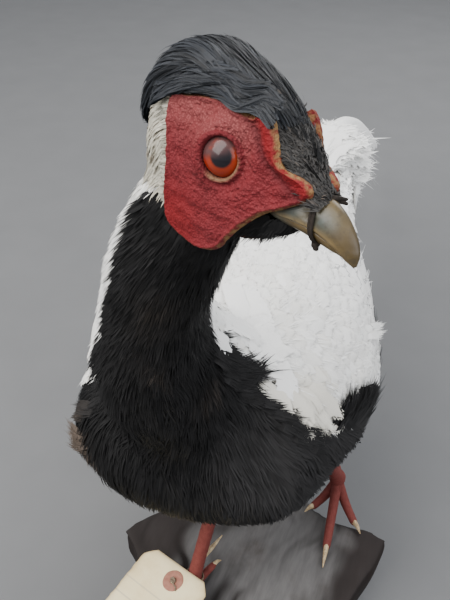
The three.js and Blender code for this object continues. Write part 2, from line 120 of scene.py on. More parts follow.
def blend(a, b, share):
    """a where share is 0, b where it is 1."""
    return np.asarray(a, float) * (1 - share) + np.asarray(b, float) * share


def curve(points, t, closed=False):
    """Points on a smooth curve through the given points, at each t from 0 to 1."""
    p = np.asarray(points, float)
    if closed:
        p = np.vstack([p[-1:], p, p[:2]])
    else:
        p = np.vstack([2 * p[0] - p[1], p, 2 * p[-1] - p[-2]])
    x = np.clip(np.asarray(t, float), 0, 1) * (len(p) - 3)
    i = np.minimum(x.astype(int), len(p) - 4)
    f = (x - i)[..., None]
    a, b, c, d = p[i], p[i + 1], p[i + 2], p[i + 3]
    return b + 0.5 * f * (c - a + f * (2 * a - 5 * b + 4 * c - d + f * (3 * (b - c) + d - a)))


def head_axes():
    yaw, pitch, roll = (math.radians(HEAD[k]) for k in ("yaw", "pitch", "roll"))
    bill = np.array([math.sin(yaw) * math.cos(pitch), -math.cos(yaw) * math.cos(pitch), -math.sin(pitch)])
    level = np.array([math.cos(yaw), math.sin(yaw), 0])
    crown = np.cross(bill, level)
    left = level * math.cos(roll) - crown * math.sin(roll)
    up = crown * math.cos(roll) + level * math.sin(roll)
    return np.array([bill, left, up])


HEAD_AXES = head_axes()
HEAD_AT = np.array(HEAD["at"], float)


def from_head(p):
    """Points in the head's axes as points of the part's frame."""
    return np.asarray(p, float) @ HEAD_AXES + HEAD_AT


def to_head(p):
    return (np.asarray(p, float) - HEAD_AT) @ HEAD_AXES.T


def grain(points, scale, seed):
    """Smooth noise from -1 to 1 at each point. Its lumps are about `scale` millimetres across."""
    shift = Vector((seed * 17.3, seed * 5.1, seed * 9.7))
    return np.array([noise.noise(Vector(p) / scale + shift) for p in np.asarray(points, float)])


# ---------------- meshes


def mesh_object(name, points, faces, numbers=None, maps=None):
    """An object from points in millimetres, with named numbers on its points and named UV maps on its corners."""
    mesh = bpy.data.meshes.new(name)
    if isinstance(faces, list):
        sizes, loops = np.array([len(f) for f in faces]), np.concatenate(faces)
    else:
        sizes, loops = np.full(len(faces), faces.shape[1]), faces.ravel()
    mesh.vertices.add(len(points))
    mesh.vertices.foreach_set("co", (np.asarray(points, float) * MM).ravel())
    mesh.loops.add(len(loops))
    mesh.loops.foreach_set("vertex_index", loops.astype(np.int32))
    mesh.polygons.add(len(sizes))
    mesh.polygons.foreach_set("loop_start", np.concatenate([[0], np.cumsum(sizes)[:-1]]).astype(np.int32))
    for label, uv in (maps or {}).items():
        layer = mesh.uv_layers.new(name=label)
        layer.uv.foreach_set("vector", np.asarray(uv, float)[loops].ravel())
    for label, values in (numbers or {}).items():
        layer = mesh.attributes.new(label, "FLOAT", "POINT")
        layer.data.foreach_set("value", np.asarray(values, float))
    mesh.update(calc_edges=True)
    mesh.validate()
    mesh.polygons.foreach_set("use_smooth", np.ones(len(mesh.polygons), bool))
    piece = bpy.data.objects.new(name, mesh)
    bpy.context.scene.collection.objects.link(piece)
    return piece


def read_mesh(piece):
    """Points in millimetres, triangles and point normals of an object with its modifiers applied."""
    evaluated = piece.evaluated_get(bpy.context.evaluated_depsgraph_get())
    mesh = evaluated.to_mesh()
    mesh.calc_loop_triangles()
    points = np.empty(len(mesh.vertices) * 3)
    normals = np.empty(len(mesh.vertices) * 3)
    triangles = np.empty(len(mesh.loop_triangles) * 3, np.int32)
    mesh.vertices.foreach_get("co", points)
    mesh.vertices.foreach_get("normal", normals)
    mesh.loop_triangles.foreach_get("vertices", triangles)
    evaluated.to_mesh_clear()
    return points.reshape(-1, 3) / MM, triangles.reshape(-1, 3), normals.reshape(-1, 3)


def remeshed(points, triangles, voxel, rounds):
    """One closed surface round everything given, rounded off by that many rounds of smoothing."""
    piece = mesh_object("remeshing", points, triangles)
    wrap = piece.modifiers.new("wrap", "REMESH")
    wrap.mode = "VOXEL"
    wrap.voxel_size = voxel * MM
    ease = piece.modifiers.new("ease", "SMOOTH")
    ease.factor = 0.5
    ease.iterations = rounds
    result = read_mesh(piece)
    bpy.data.objects.remove(piece)
    return result


def stacked(parts):
    """Several (points, faces) as one. Faces of three or four corners may be mixed, as a list."""
    points, faces, start = [], [], 0
    for p, f in parts:
        points.append(np.asarray(p, float))
        faces.extend(np.asarray(face) + start for face in f)
        start += len(p)
    return np.vstack(points), faces


def grid_faces(rows, columns, closed=True):
    """Four-cornered faces of a grid whose rows run one after another, closed round each row or not."""
    across = np.arange(columns if closed else columns - 1)
    i, k = np.meshgrid(np.arange(rows - 1), across, indexing="ij")
    a = i * columns + k
    b = i * columns + (k + 1) % columns
    return np.stack([a, b, b + columns, a + columns], -1).reshape(-1, 4)


def web_faces(rows, columns):
    """Triangles of an open grid whose rows run one after another."""
    a = (np.arange(rows - 1)[:, None] * columns + np.arange(columns - 1)).ravel()
    return np.stack([a, a + 1, a + columns + 1, a, a + columns + 1, a + columns], 1).reshape(-1, 3).tolist()


def swept(points, radii, steps, sides, up=(0.02, 0.01, 1), shape=None):
    """A closed tube with rounded ends along a curve. Each radius is (across, up) or one number.

    shape(t, angle) scales the radius, for scales, ridges and flats.
    """
    t = np.linspace(0, 1, steps + 1)
    middle = curve(points, t)
    size = curve([np.ones(2) * np.asarray(r, float) for r in radii], t)
    along = unit(np.gradient(middle, axis=0))
    dorsal = square(np.array(up, float), along)
    across = np.cross(along, dorsal)
    angle = np.linspace(0, 2 * np.pi, sides, endpoint=False)
    scale = np.ones((steps + 1, sides)) if shape is None else shape(t[:, None], angle[None, :])
    ring = (across[:, None] * (np.cos(angle)[None, :] * size[:, :1] * scale)[..., None]
            + dorsal[:, None] * (np.sin(angle)[None, :] * size[:, 1:] * scale)[..., None])
    tips = [middle[:1] - along[:1] * size[:1, :1] * 0.4, middle[-1:] + along[-1:] * size[-1:, :1] * 0.4]
    grid = (middle[:, None] + ring).reshape(-1, 3)
    faces = list(grid_faces(steps + 1, sides))
    first, last, body = len(grid), len(grid) + 1, steps * sides
    for k in range(sides):
        n = (k + 1) % sides
        faces.append(np.array([first, n, k]))
        faces.append(np.array([last, body + k, body + n]))
    return np.vstack([grid, *tips]), faces


# ---------------- materials


class Paint:
    """A material in the making. Its methods add nodes and return the last one's output."""

    def __init__(self, name, **sockets):
        self.material = bpy.data.materials.new(name)
        self.material.use_nodes = True
        self.tree = self.material.node_tree
        self.shader = self.tree.nodes["Principled BSDF"]
        for socket, value in sockets.items():
            self.shader.inputs[socket.replace("_", " ")].default_value = value

    def add(self, kind, inputs, output=0, **settings):
        node = self.tree.nodes.new(kind)
        for key, value in settings.items():
            setattr(node, key, value)
        for socket, value in inputs.items():
            if isinstance(value, bpy.types.NodeSocket):
                self.tree.links.new(value, node.inputs[socket])
            else:
                node.inputs[socket].default_value = value
        return node.outputs[output]

    def set(self, **sockets):
        for socket, value in sockets.items():
            self.tree.links.new(value, self.shader.inputs[socket.replace("_", " ")])
        return self

    def number(self, name):
        return self.add("ShaderNodeAttribute", {}, "Fac", attribute_name=name)

    def place(self, stretch=(1, 1, 1)):
        """The point's own place in the part's frame, in metres, stretched along each axis."""
        where = self.add("ShaderNodeTexCoord", {}, "Object")
        return self.add("ShaderNodeMapping", {"Vector": where, "Scale": stretch})

    def noise(self, scale, detail, rough=0.55, stretch=(1, 1, 1)):
        return self.add("ShaderNodeTexNoise", {
            "Vector": self.place(stretch), "Scale": scale, "Detail": detail, "Roughness": rough})

    def cells(self, scale):
        return self.add("ShaderNodeTexVoronoi", {"Vector": self.place(), "Scale": scale}, "Distance")

    def math(self, operation, a, b=0.0, clamp=False):
        return self.add("ShaderNodeMath", {0: a, 1: b}, operation=operation, use_clamp=clamp)

    def times(self, a, b):
        return self.math("MULTIPLY", a, b)

    def plus(self, a, b, clamp=False):
        return self.math("ADD", a, b, clamp)

    def between(self, low, high, value):
        """0 below low, 1 above high, smooth between."""
        return self.add("ShaderNodeMapRange", {"Value": value, "From Min": low, "From Max": high},
                        interpolation_type="SMOOTHSTEP")

    def mix(self, share, a, b):
        def colour(c):
            return c if isinstance(c, bpy.types.NodeSocket) else (*c, 1.0)
        return self.add("ShaderNodeMix", {0: share, 6: colour(a), 7: colour(b)}, 2, data_type="RGBA")

    def layered(self, colour, *layers):
        """A colour with others laid over it, each given as (share, strength, colour)."""
        for share, strength, tint in layers:
            colour = self.mix(self.times(share, strength), colour, tint)
        return colour

    def coat(self, colour, height, distance, strength):
        """Gives the material its colour, and a relief of that height in millimetres."""
        relief = self.add("ShaderNodeBump", {"Height": height, "Distance": distance * MM, "Strength": strength})
        return self.set(Base_Color=colour, Normal=relief)


def finished(piece, paint, body_slot, *nodes):
    """Gives a piece its material, seats it on the part and hides the nodes that it stands for. The slot is not
    used.
    """
    piece.data.materials.append(paint.material)
    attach(piece, "root")
    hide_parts(*nodes)


def feather_paint(name, dark, light, relief, line=0.0, **sockets):
    """Feathers: fine barbs slanting from the shaft, a tone for each feather, and thin dark arcs on some."""
    paint = Paint(name, **sockets)
    vane = paint.add("ShaderNodeUVMap", {}, uv_map="vane")
    split = paint.add("ShaderNodeSeparateXYZ", {"Vector": vane}, "X")
    along = split.node.outputs["Y"]
    off_shaft = paint.math("ABSOLUTE", paint.math("SUBTRACT", split, 0.5))
    slant = paint.math("SUBTRACT", along, paint.times(off_shaft, 0.7))
    barbs = paint.math("SINE", paint.times(slant, 190.0))
    share = paint.plus(paint.times(barbs, 0.1), paint.times(paint.number("tone"), 0.62))
    share = paint.plus(share, paint.times(paint.noise(60, 3), 0.3), clamp=True)
    colour = paint.mix(share, dark, light)
    if line:
        chevron = paint.plus(paint.plus(along, paint.times(off_shaft, 0.5)), paint.times(paint.noise(150, 2), 0.5))
        waves = paint.math("SINE", paint.times(chevron, 21.0))
        lines = paint.times(paint.between(0.8, 0.99, waves), paint.number("ink"))
        colour = paint.layered(colour, (lines, line, (0.13, 0.13, 0.135)),
                               (paint.number("cream"), 0.8, (0.64, 0.6, 0.5)))
    colour = paint.mix(paint.number("rust"), colour, (0.2, 0.15, 0.115))
    height = paint.plus(paint.times(barbs, 0.4), paint.between(0.06, 0.02, off_shaft))
    return paint.coat(colour, height, 0.08, relief)


# ---------------- feathers


def tuft(fingers, split, spread, seed):
    """A soft feather, as (across, along, lift) points and triangles: a web that parts into fine fingers."""
    pick = np.random.default_rng(seed)
    rows = [(0.0, 0.3), (split * 0.5, 0.8), (split, 1.0)]
    points = [(side * wide, v, 0.0) for v, wide in rows for side in (-1, 0, 1)]
    faces = web_faces(3, 3)
    edge = np.linspace(-1, 1, fingers + 1)
    for k in range(fingers):
        low, high = edge[k], edge[k + 1]
        middle = (low + high) / 2
        reach = 1 - 0.28 * abs(middle) ** 1.5 - 0.2 * pick.random()
        lean = middle * (1 + spread) + 0.16 * pick.normal()
        lift = 0.22 * pick.normal()
        start = len(points)
        half = (high - low) * 0.42
        bend = split + (reach - split) * 0.55
        points += [
            (low, split, 0.0), (high, split, 0.0),
            (lean * 0.6 + middle * 0.4 - half, bend, lift * 0.6),
            (lean * 0.6 + middle * 0.4 + half, bend, lift * 0.6),
            (lean, reach, lift),
        ]
        faces += [(start, start + 1, start + 3), (start, start + 3, start + 2), (start + 2, start + 3, start + 4)]
    return np.array(points), np.array(faces)


def vane(rows, seed, tip=0.62, fray=0.1):
    """A firm rounded feather: a domed web with a ragged margin and a fringe of barb tips."""
    pick = np.random.default_rng(seed)
    across = np.array([-1, -0.5, 0, 0.5, 1])
    v = np.linspace(0, 1, rows) ** 0.85
    wide = np.where(v < tip, 0.35 + 0.65 * np.sin(np.pi / 2 * v / tip),
                    np.sqrt(np.clip(1 - ((v - tip) / (1.02 - tip)) ** 2, 0.03, 1)))
    points = []
    for r in range(rows):
        for u in across:
            rag = fray * pick.normal() * abs(u)
            points.append((u * wide[r] * (1 + rag), v[r] - 0.05 * abs(u) + rag * 0.3, -0.09 * u * u))
    faces = web_faces(rows, 5)
    # A fringe of barb tips round the end.
    for k in range(9):
        angle = math.radians(-75 + 150 * k / 8)
        u0, u1 = math.sin(angle - 0.12) * 0.93, math.sin(angle + 0.12) * 0.93
        v0, v1 = (tip + (1 - tip) * math.cos(angle + d) * 0.97 for d in (-0.12, 0.12))
        reach = 1.03 + 0.09 * pick.random()
        start = len(points)
        points += [(u0, v0, -0.1 * u0 * u0), (u1, v1, -0.1 * u1 * u1),
                   (math.sin(angle) * reach, tip + (1 - tip) * math.cos(angle) * reach + 0.02, -0.1)]
        faces.append((start, start + 1, start + 2))
    return np.array(points), np.array(faces)


def ribbon(rows, taper):
    """A hair-like feather: a narrow strip that ends in a point."""
    v = np.linspace(0, 1, rows)
    wide = (0.6 + 0.4 * np.sin(np.pi * np.minimum(v * 1.5, 1) / 2)) * np.clip((1 - v) / (1 - taper), 0, 1)
    points = [(side * wide[r], v[r], 0.0) for r in range(rows - 1) for side in (-1, 1)] + [(0.0, 1.0, 0.0)]
    faces = web_faces(rows - 1, 2) + [(2 * rows - 4, 2 * rows - 3, 2 * rows - 2)]
    return np.array(points), np.array(faces)


def feathers(name, shafts, normals, width, lift, forms, patch, numbers, roll, rise=0.8):
    """One piece of joined feathers along the given shafts, each in one of the given forms.

    shafts and normals are (feather, station, 3). lift is how far each tip stands over its shaft, rise how
    late it gets there, and roll how far each is turned about its shaft. patch is each root's place on the
    unwrapped skin.
    """
    count, stations = shafts.shape[:2]
    which = rng.integers(0, len(forms), count)
    side = unit(np.cross(unit(np.gradient(shafts, axis=1)), normals))
    side = unit(side + normals * roll.reshape(-1, 1, 1))
    placed, triangles, vanes, bakes, owner, start = [], [], [], [], [], 0
    for f, (points, faces) in enumerate(forms):
        mine = np.where(which == f)[0]
        if not len(mine):
            continue
        x = np.clip(points[:, 1], 0, 1.12) * (stations - 1)
        i = np.clip(x.astype(int), 0, stations - 2)
        share = (x - i)[None, :, None]

        def at(values):
            return blend(values[mine][:, i], values[mine][:, i + 1], share)

        half = width[mine, None] / 2
        height = lift[mine, None] * np.clip(points[:, 1], 0, 1)[None] ** rise + points[None, :, 2] * half
        placed.append((at(shafts) + at(side) * (points[None, :, 0] * half)[..., None]
                       + unit(at(normals)) * height[..., None]).reshape(-1, 3))
        shift = (start + np.arange(len(mine)) * len(points))[:, None, None]
        triangles.append((faces[None] + shift).reshape(-1, 3))
        uv = np.stack([points[:, 0] * 0.5 + 0.5, points[:, 1]], 1)
        vanes.append(np.tile(uv, (len(mine), 1)))
        bakes.append((patch[mine][:, None] + (uv[None] - 0.5) * 0.003).reshape(-1, 2))
        owner.append(np.repeat(mine, len(points)))
        start += len(mine) * len(points)
    owner = np.concatenate(owner)
    return mesh_object(name, np.vstack(placed), np.vstack(triangles),
                       {label: np.asarray(values, float)[owner] for label, values in numbers.items()},
                       {"OFBake": np.clip(np.vstack(bakes), 0, 1), "vane": np.vstack(vanes)})


# ---------------- camera, light and floor


def setting():
    """The camera, the sky, the lamps and the floor."""
    scene = bpy.context.scene
    camera = bpy.data.objects.new("camera", bpy.data.cameras.new("camera"))
    scene.collection.objects.link(camera)
    camera.data.lens = CAMERA["lens"]
    camera.data.sensor_width = CAMERA["sensor"]
    camera.data.clip_start = 0.01
    camera.location = Vector(CAMERA["at"]) * MM
    camera.rotation_euler = (math.radians(90 - CAMERA["down"]), 0, math.radians(CAMERA["round"]))
    scene.camera = camera

    scene.world = bpy.data.worlds.new("studio")
    scene.world.use_nodes = True
    for socket, value in SKY.items():
        scene.world.node_tree.nodes["Background"].inputs[socket].default_value = value
    for name, (place, size, power, tint) in LAMPS.items():
        lamp = bpy.data.objects.new(name, bpy.data.lights.new(name, "AREA"))
        scene.collection.objects.link(lamp)
        lamp.data.energy = power
        lamp.data.size = size
        lamp.data.color = tint
        lamp.location = place
        lamp.rotation_euler = (Vector(LAMPS_AIM) - lamp.location).to_track_quat("-Z", "Y").to_euler()

    corners = [(x * FLOOR_REACH, y * FLOOR_REACH, 0) for x, y in ((-1, -1), (1, -1), (1, 1), (-1, 1))]
    floor = mesh_object("floor", corners, np.array([[0, 1, 2, 3]]))
    paint = Paint("floor_paint", Roughness=0.85)
    paint.set(Base_Color=paint.mix(paint.noise(14, 4), (0.135, 0.137, 0.14), (0.165, 0.167, 0.17)))
    floor.data.materials.append(paint.material)


# ---------------- skin

BODY_NODES = ("trunk", "neck", "head", "crest", "wing_left", "wing_right", "thigh_left", "thigh_right",
              "tail_coverts")


def node_mesh(name):
    return read_mesh(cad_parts[name])[:2]


def coat_depth(points):
    """How far the skin lies inside the feathers' tips, in millimetres."""
    near_head = smooth(60, 30, np.linalg.norm(points - HEAD_AT, axis=1))
    return 4.6 - 2.6 * near_head


def body_skin():
    parts = [node_mesh(name) for name in BODY_NODES]
    points, faces = stacked(parts)
    points, triangles, normals = remeshed(points, np.array(faces), *SKIN_MESH)
    return points - normals * coat_depth(points)[:, None], triangles, normals


def axis_lookup(points):
    """For each point: how far along the body's axis (0 to 1), the angle round it, its way and its back."""
    t = np.linspace(0, 1, 160)
    middle = curve([a for a, _ in AXIS], t)
    along = unit(np.gradient(middle, axis=0))
    back = square(unit(curve([b for _, b in AXIS], t)), along)
    across = np.cross(along, back)
    nearest = np.empty(len(points), int)
    for i in range(0, len(points), 4000):
        gap = points[i:i + 4000, None] - middle[None]
        nearest[i:i + 4000] = np.argmin((gap ** 2).sum(2), 1)
    out = points - middle[nearest]
    angle = np.arctan2((out * across[nearest]).sum(1), (out * back[nearest]).sum(1))
    return t[nearest], angle, along[nearest], back[nearest]


def body_patch(points):
    """A root's place on the unwrapped body: along the axis, and round it from the middle of the back."""
    share, angle, _, _ = axis_lookup(points)
    return np.stack([0.01 + 0.98 * share, 0.5 + angle / (2 * np.pi) * 0.98], 1)


# ---------------- face


def cheek_out(x, z):
    """How far the bare face stands out from the head's middle plane at x and z."""
    wide = np.interp(x, CHEEK["x"], CHEEK["wide"])
    return wide * np.sqrt(np.clip(1 - ((z - CHEEK["middle"]) / CHEEK["tall"]) ** 2, 0.05, 1))


def lid_axes(side):
    """The middle of the eye's lids, and the ways forward, up and out of the face there."""
    turn = math.radians(LIDS["forward"])
    out = np.array([math.sin(turn), side * math.cos(turn), 0])
    forward = np.array([math.cos(turn), -side * math.sin(turn), 0])
    return np.array([LIDS["at"][0], side * LIDS["at"][1], LIDS["at"][2]]), forward, np.array([0, 0, 1.0]), out


def distance_to(points, path):
    """How far each point is from a path of straight lines, in the plane or in space."""
    best = np.full(len(points), 1e9)
    for a, b in zip(path[:-1], path[1:]):
        a, b = np.array(a, float), np.array(b, float)
        t = np.clip((points - a) @ (b - a) / ((b - a) @ (b - a)), 0, 1)
        best = np.minimum(best, np.linalg.norm(points - a - t[:, None] * (b - a), axis=1))
    return best


def face_radius(angle):
    """How far the face's edge is from the middle of the eye, in each direction of the side view."""
    edge = curve(FACE_EDGE, np.linspace(0, 1, 600, endpoint=False), closed=True)
    dx, dz = edge[:, 0] - LIDS["at"][0], edge[:, 1] - LIDS["at"][2]
    order = np.argsort(np.arctan2(dz, dx))
    return np.interp(angle, np.arctan2(dz, dx)[order], np.hypot(dx, dz)[order], period=2 * np.pi)


def cheek(side):
    """One bare cheek with its lids, as points, faces and numbers for its colours."""
    around, outward = 264, 66
    angle = np.linspace(-np.pi, np.pi, around, endpoint=False)
    middle, forward, up, out = lid_axes(side)
    outwards = np.array([0, side, 0])
    none = np.zeros(around)

    def flattened(r):
        """The side view's x and z at r from the eye, and how far out the face is there."""
        x, z = LIDS["at"][0] + r * np.cos(angle), LIDS["at"][2] + r * np.sin(angle)
        slim = 1 - 0.22 * smooth(14, 26, x) * (side > 0)  # the far fold lies closer to the brow
        return x, z, slim * cheek_out(x, z)

    rings, numbers = [], []
    # The lid's edge is pale below and at the front corner; elsewhere it is darkened with painted shade, most on
    # the inner rings where the lid tucks in round the eye.
    low = smooth(-0.1, -0.7, np.sin(angle - 0.7))
    for r, height, strength, dark in LID_RINGS:
        rings.append(middle + forward * (r * np.cos(angle))[:, None]
                     + up * (r * (1 + 0.1 * smooth(LID_END, 6.4, r)) * np.sin(angle))[:, None] + out * height)
        numbers.append(np.stack([low * strength, none, np.full(around, dark), none, none], 1))
    lid_end = rings[-1]
    reach = face_radius(angle)
    fold_path = curve(LOBE, np.linspace(0, 1, 240))
    for k in range(1, outward + 1):
        r = LID_END + (reach - LID_END) * (k / outward) ** 0.92
        x, z, wide = flattened(r)
        rim, past_lid = reach - r, r - LID_END
        lobe = distance_to(np.stack([x, z], 1), fold_path)
        behind = smooth(1, -1, x - np.interp(z, [1.5, 17], [28, 5]))
        near_lid = smooth(5, 0, past_lid)
        rise = (0.55 * np.exp(-((rim - 1.2) / 0.9) ** 2) - 1.5 * smooth(0.9, 0, rim)
                + (0.9 if side < 0 else 0.4) * np.exp(-((lobe - 0.3) / 1.3) ** 2)
                - 0.7 * np.exp(-((lobe - 3.4) / 0.9) ** 2) * behind
                + 0.25 * np.sin(r * 2.1) * near_lid * smooth(0, 1.2, past_lid))
        seat = lid_end + forward * (past_lid * np.cos(angle))[:, None] + up * (past_lid * np.sin(angle))[:, None]
        rings.append(blend(np.stack([x, side * wide, z], 1), seat, near_lid[:, None]) + outwards * rise[:, None])
        numbers.append(np.stack([
            # The third number darkens the crease behind the front fold: painted shade.
            none, smooth(1.15, 0.2, rim), np.exp(-((lobe - 3.4) / 1.2) ** 2) * behind * 0.8,
            np.clip(np.exp(-((lobe - 0.2) / 2.2) ** 2) + 0.75 * smooth(-8, -26, z) * smooth(2, -16, x), 0, 1),
            # The fifth number makes the face paler and duller towards its top.
            smooth(-4, 12, z) * smooth(14, 4, x)], 1))
    # The edge turns in under itself, down to the skull, with a little painted shade on it.
    for inward, tuck in ((0.4, 1.6), (1.6, 3.4), (3.2, 5.5)):
        x, z, wide = flattened(reach - inward)
        rings.append(np.stack([x, side * np.maximum(wide - tuck, 0.5), z], 1))
        numbers.append(np.tile([0.0, 0.75, 0.15, 0.5, 0.0], (around, 1)))
    points = np.vstack(rings)
    on_face = np.ones(len(points))
    on_face[:4 * around] = 0.15
    on_face[-3 * around:] = 0.3
    warts = grain(points, 1.3, side) * 0.4 + grain(points, 0.8, side + 3) * 0.22
    folds = grain(points * [0.6, 1, 1.4], 5.5, side + 6) * 0.7
    points = points + outwards * ((warts + folds) * on_face)[:, None]
    faces = grid_faces(len(rings), around)
    return from_head(points), faces[:, ::-1] if side > 0 else faces, np.vstack(numbers)


def skin_paint():
    """Dull skin under the feathers, crimson grains on the face, a tan dried rim, painted shade in the face's
    crease and round the eyes, and red scales on the legs.
    """
    paint = Paint("skin_paint", Roughness=0.72, Specular_IOR_Level=0.22)
    bare, rim, fold, lobe, lid, leg, pale, dusty = (
        paint.number(name) for name in ("bare", "rim", "fold", "lobe", "lid", "leg", "pale", "dusty"))
    grains = paint.cells(1350)
    lumps = paint.noise(170, 5, 0.65)
    deep = paint.mix(paint.between(0.3, 0.7, lumps), (0.068, 0.0038, 0.006), (0.145, 0.01, 0.0135))
    pits = paint.times(paint.between(0.2, 0.6, grains), 0.65)
    dried = paint.between(0.35, 0.6, paint.noise(420, 4))
    # The face is paler and duller towards its top.
    red = paint.mix(pits, paint.mix(dusty, (0.175, 0.021, 0.025), (0.27, 0.068, 0.066)), deep)
    # The near-black layer over the crease and round the eyes is painted shade.
    red = paint.layered(
        red, (dusty, 0.3, (0.2, 0.046, 0.045)), (lobe, 0.7, (0.2, 0.0055, 0.007)),
        (fold, 0.75, (0.05, 0.004, 0.006)), (rim, dried, (0.24, 0.14, 0.055)), (lid, 0.8, (0.23, 0.16, 0.08)))
    under = paint.mix(pale, (0.014, 0.013, 0.014), (0.6, 0.58, 0.54))
    scales = paint.mix(paint.noise(300, 4), (0.11, 0.02, 0.017), (0.22, 0.056, 0.046))
    colour = paint.mix(leg, paint.mix(bare, under, red), scales)
    height = paint.plus(paint.times(grains, -0.7), paint.times(lumps, 0.5))
    return paint.coat(colour, height, 0.55, 0.8)


# ---------------- legs and feet

LEGS = {
    "left": {"ball": (42.4, 52, 85), "hock": (28, 10, 172)},
    "right": {"ball": (-31, -66, 70.5), "hock": (-20, -36, 160)},
}
TOES = {
    "left": {"inner": ((24, 28, 63), 11), "middle": ((50, -13, 63), 19), "outer": ((69, 25, 63), 12),
             "hind": ((37, 77, 76), 8)},
    "right": {"inner": ((-3, -108, 63), 12), "middle": ((-29, -135, 63), 15), "outer": ((-66, -106, 63), 12),
              "hind": ((-18, -43, 76), 8)},
}
WOOD_TOP = 62
SPUR = {"length": 23, "radii": (2.9, 1.6, 0.35), "share": 0.26, "towards": (-0.42, 0.9, 0.12), "lift": 3}


def scutes(count):
    """Overlapping plates down the front of a leg or the top of a toe, and small scales elsewhere."""
    def shape(t, angle):
        facing = smooth(1.9, 0.9, np.abs((angle + np.pi / 2) % (2 * np.pi) - np.pi))
        step = (t * count) % 1.0
        plate = 0.07 * (step ** 0.6 - 0.6)
        fine = 0.028 * np.sin(t * count * 4 * np.pi) * np.sin(angle * 7)
        return 1 + plate * facing + fine * (1 - facing)
    return shape


def foot(name):
    """A bare leg with its toes as (points, faces), and its claws and spur as named (points, faces)."""
    leg = LEGS[name]
    ball, hock = np.array(leg["ball"], float), np.array(leg["hock"], float)
    length = np.linalg.norm(hock - ball)
    way = unit(hock - ball)
    shank = lambda far: ball + way * far
    tarsus = swept(
        [shank(f) for f in (-5, -2, 4, 14, 0.6 * length, length + 6)],
        [(3, 3), (5.4, 5.4), (6.3, 6.5), (4.8, 5.2), (4.5, 5.2), (4.8, 5.8)],
        steps=90, sides=22, up=(0, -1, 0.05), shape=scutes(22))
    skins, horns = [tarsus], {}
    inward, back, up = SPUR["towards"]
    spur_way = unit((SIDES[name] * inward, back, up))
    root = shank(length * SPUR["share"])
    bend = root + spur_way * SPUR["length"] * 0.55
    point = root + spur_way * (SPUR["length"] - 1) + (0, 0, SPUR["lift"])
    horns[f"spur_{name}"] = swept([root, bend, point], SPUR["radii"], steps=16, sides=14)
    for toe, (tip, claw) in TOES[name].items():
        hind = toe == "hind"
        slim = 0.82 if hind else 1.0
        end = np.array(tip, float)
        start = ball + (0, 0, -1.5)
        nail = end + unit(start - end) * claw
        nail[2] = end[2] + 0.6 if hind else WOOD_TOP + 3.2
        knuckle = (start + nail) / 2
        knuckle[2] = knuckle[2] if hind else max(WOOD_TOP + 5.2, knuckle[2] - 3)
        long = np.linalg.norm(nail - start)
        pads = lambda t, angle: 1 + 0.1 * np.cos(t * 6 * np.pi) * smooth(-0.2, -1, np.sin(angle))
        plates = scutes(int(long / 2.6))
        skins.append(swept([start, knuckle, nail, nail + unit(end - nail) * 1.5],
                           np.array([4.0, 3.5, 2.9, 1.9]) * slim, steps=46, sides=18,
                           shape=lambda t, a: plates(t, a) * pads(t, a)))
        bend = (nail + end) / 2 + (0, 0, 1.5)
        claw_radii = [(2.2 * slim, 2.5 * slim), (1.5 * slim, 2.0 * slim), 0.35]
        horns[f"claw_{name}_{toe}"] = swept([nail, bend, end], claw_radii, steps=18, sides=14)
    return skins, horns


def claw_paint():
    paint = Paint("claw_paint", Roughness=0.42, Specular_IOR_Level=0.45)
    streaks = paint.noise(500, 5, 0.6)
    colour = paint.mix(paint.between(0.3, 0.75, streaks), (0.55, 0.43, 0.25), (0.3, 0.19, 0.1))
    return paint.coat(colour, streaks, 0.12, 0.5)


# ---------------- eye and bill

BILL_UPPER = [  # middle of the cutting edge, half width, up and down, in the head's axes
    ((15, 0, -9.4), 6.2, 3, 0.6), ((20, 0, -9.0), 7.2, 6.7, 0.8), ((26, 0, -8.2), 6.8, 8.0, 1.0),
    ((33, 0, -8.2), 5.6, 7.0, 1.1), ((39, 0, -9.9), 4.2, 5.2, 1.2), ((43.4, 0, -12.2), 2.6, 3.2, 1.3),
    ((46.0, 0, -14.6), 0.45, 0.6, 0.5),
]
BILL_LOWER = [
    ((13, 0, -10.2), 4.5, 0.6, 2.0), ((18, 0, -9.8), 6.4, 0.7, 2.8), ((29, 0, -9.2), 5.5, 0.7, 3.3),
    ((38, 0, -10.8), 3.6, 0.6, 2.6), ((42.2, 0, -12.8), 1.2, 0.5, 1.1),
]


BILL_STEPS, BILL_SIDES = 60, 36


def bill_half(sections, ridge):
    """One half of the horn, as points and faces. ridge is how far a keel stands up along its top."""
    steps, sides = BILL_STEPS, BILL_SIDES
    t = np.linspace(0, 1, steps + 1)
    middle = curve([s[0] for s in sections], t)
    size = curve([s[1:] for s in sections], t)
    along = unit(np.gradient(middle, axis=0))
    up = square(np.array([0.0, 0, 1]), along)
    across = np.cross(along, up)
    angle = np.linspace(0, 2 * np.pi, sides, endpoint=False)
    high = np.where(np.sin(angle) > 0, size[:, 1:2], size[:, 2:3])
    keel = 1 + ridge * np.exp(-((angle - np.pi / 2) / 0.35) ** 2)
    # Each half is D-shaped: its sides run nearly straight to the cutting edge.
    flat_side = np.sin(angle) < 0 if ridge else np.sin(angle) > 0
    out = np.sign(np.cos(angle)) * np.abs(np.cos(angle)) ** np.where(flat_side, 0.3, 0.85)
    ring = (across[:, None] * (out[None] * size[:, :1])[..., None]
            + up[:, None] * (np.sin(angle)[None] * high * keel[None])[..., None])
    grid = (middle[:, None] + ring).reshape(-1, 3)
    fine = grain(grid * [0.35, 1, 1], 1.6, 2) * 0.12
    grid = grid + unit(grid - np.repeat(middle, sides, 0)) * fine[:, None]
    faces = list(grid_faces(steps + 1, sides))
    return grid, faces + [np.arange(sides)[::-1], np.arange(sides) + steps * sides]


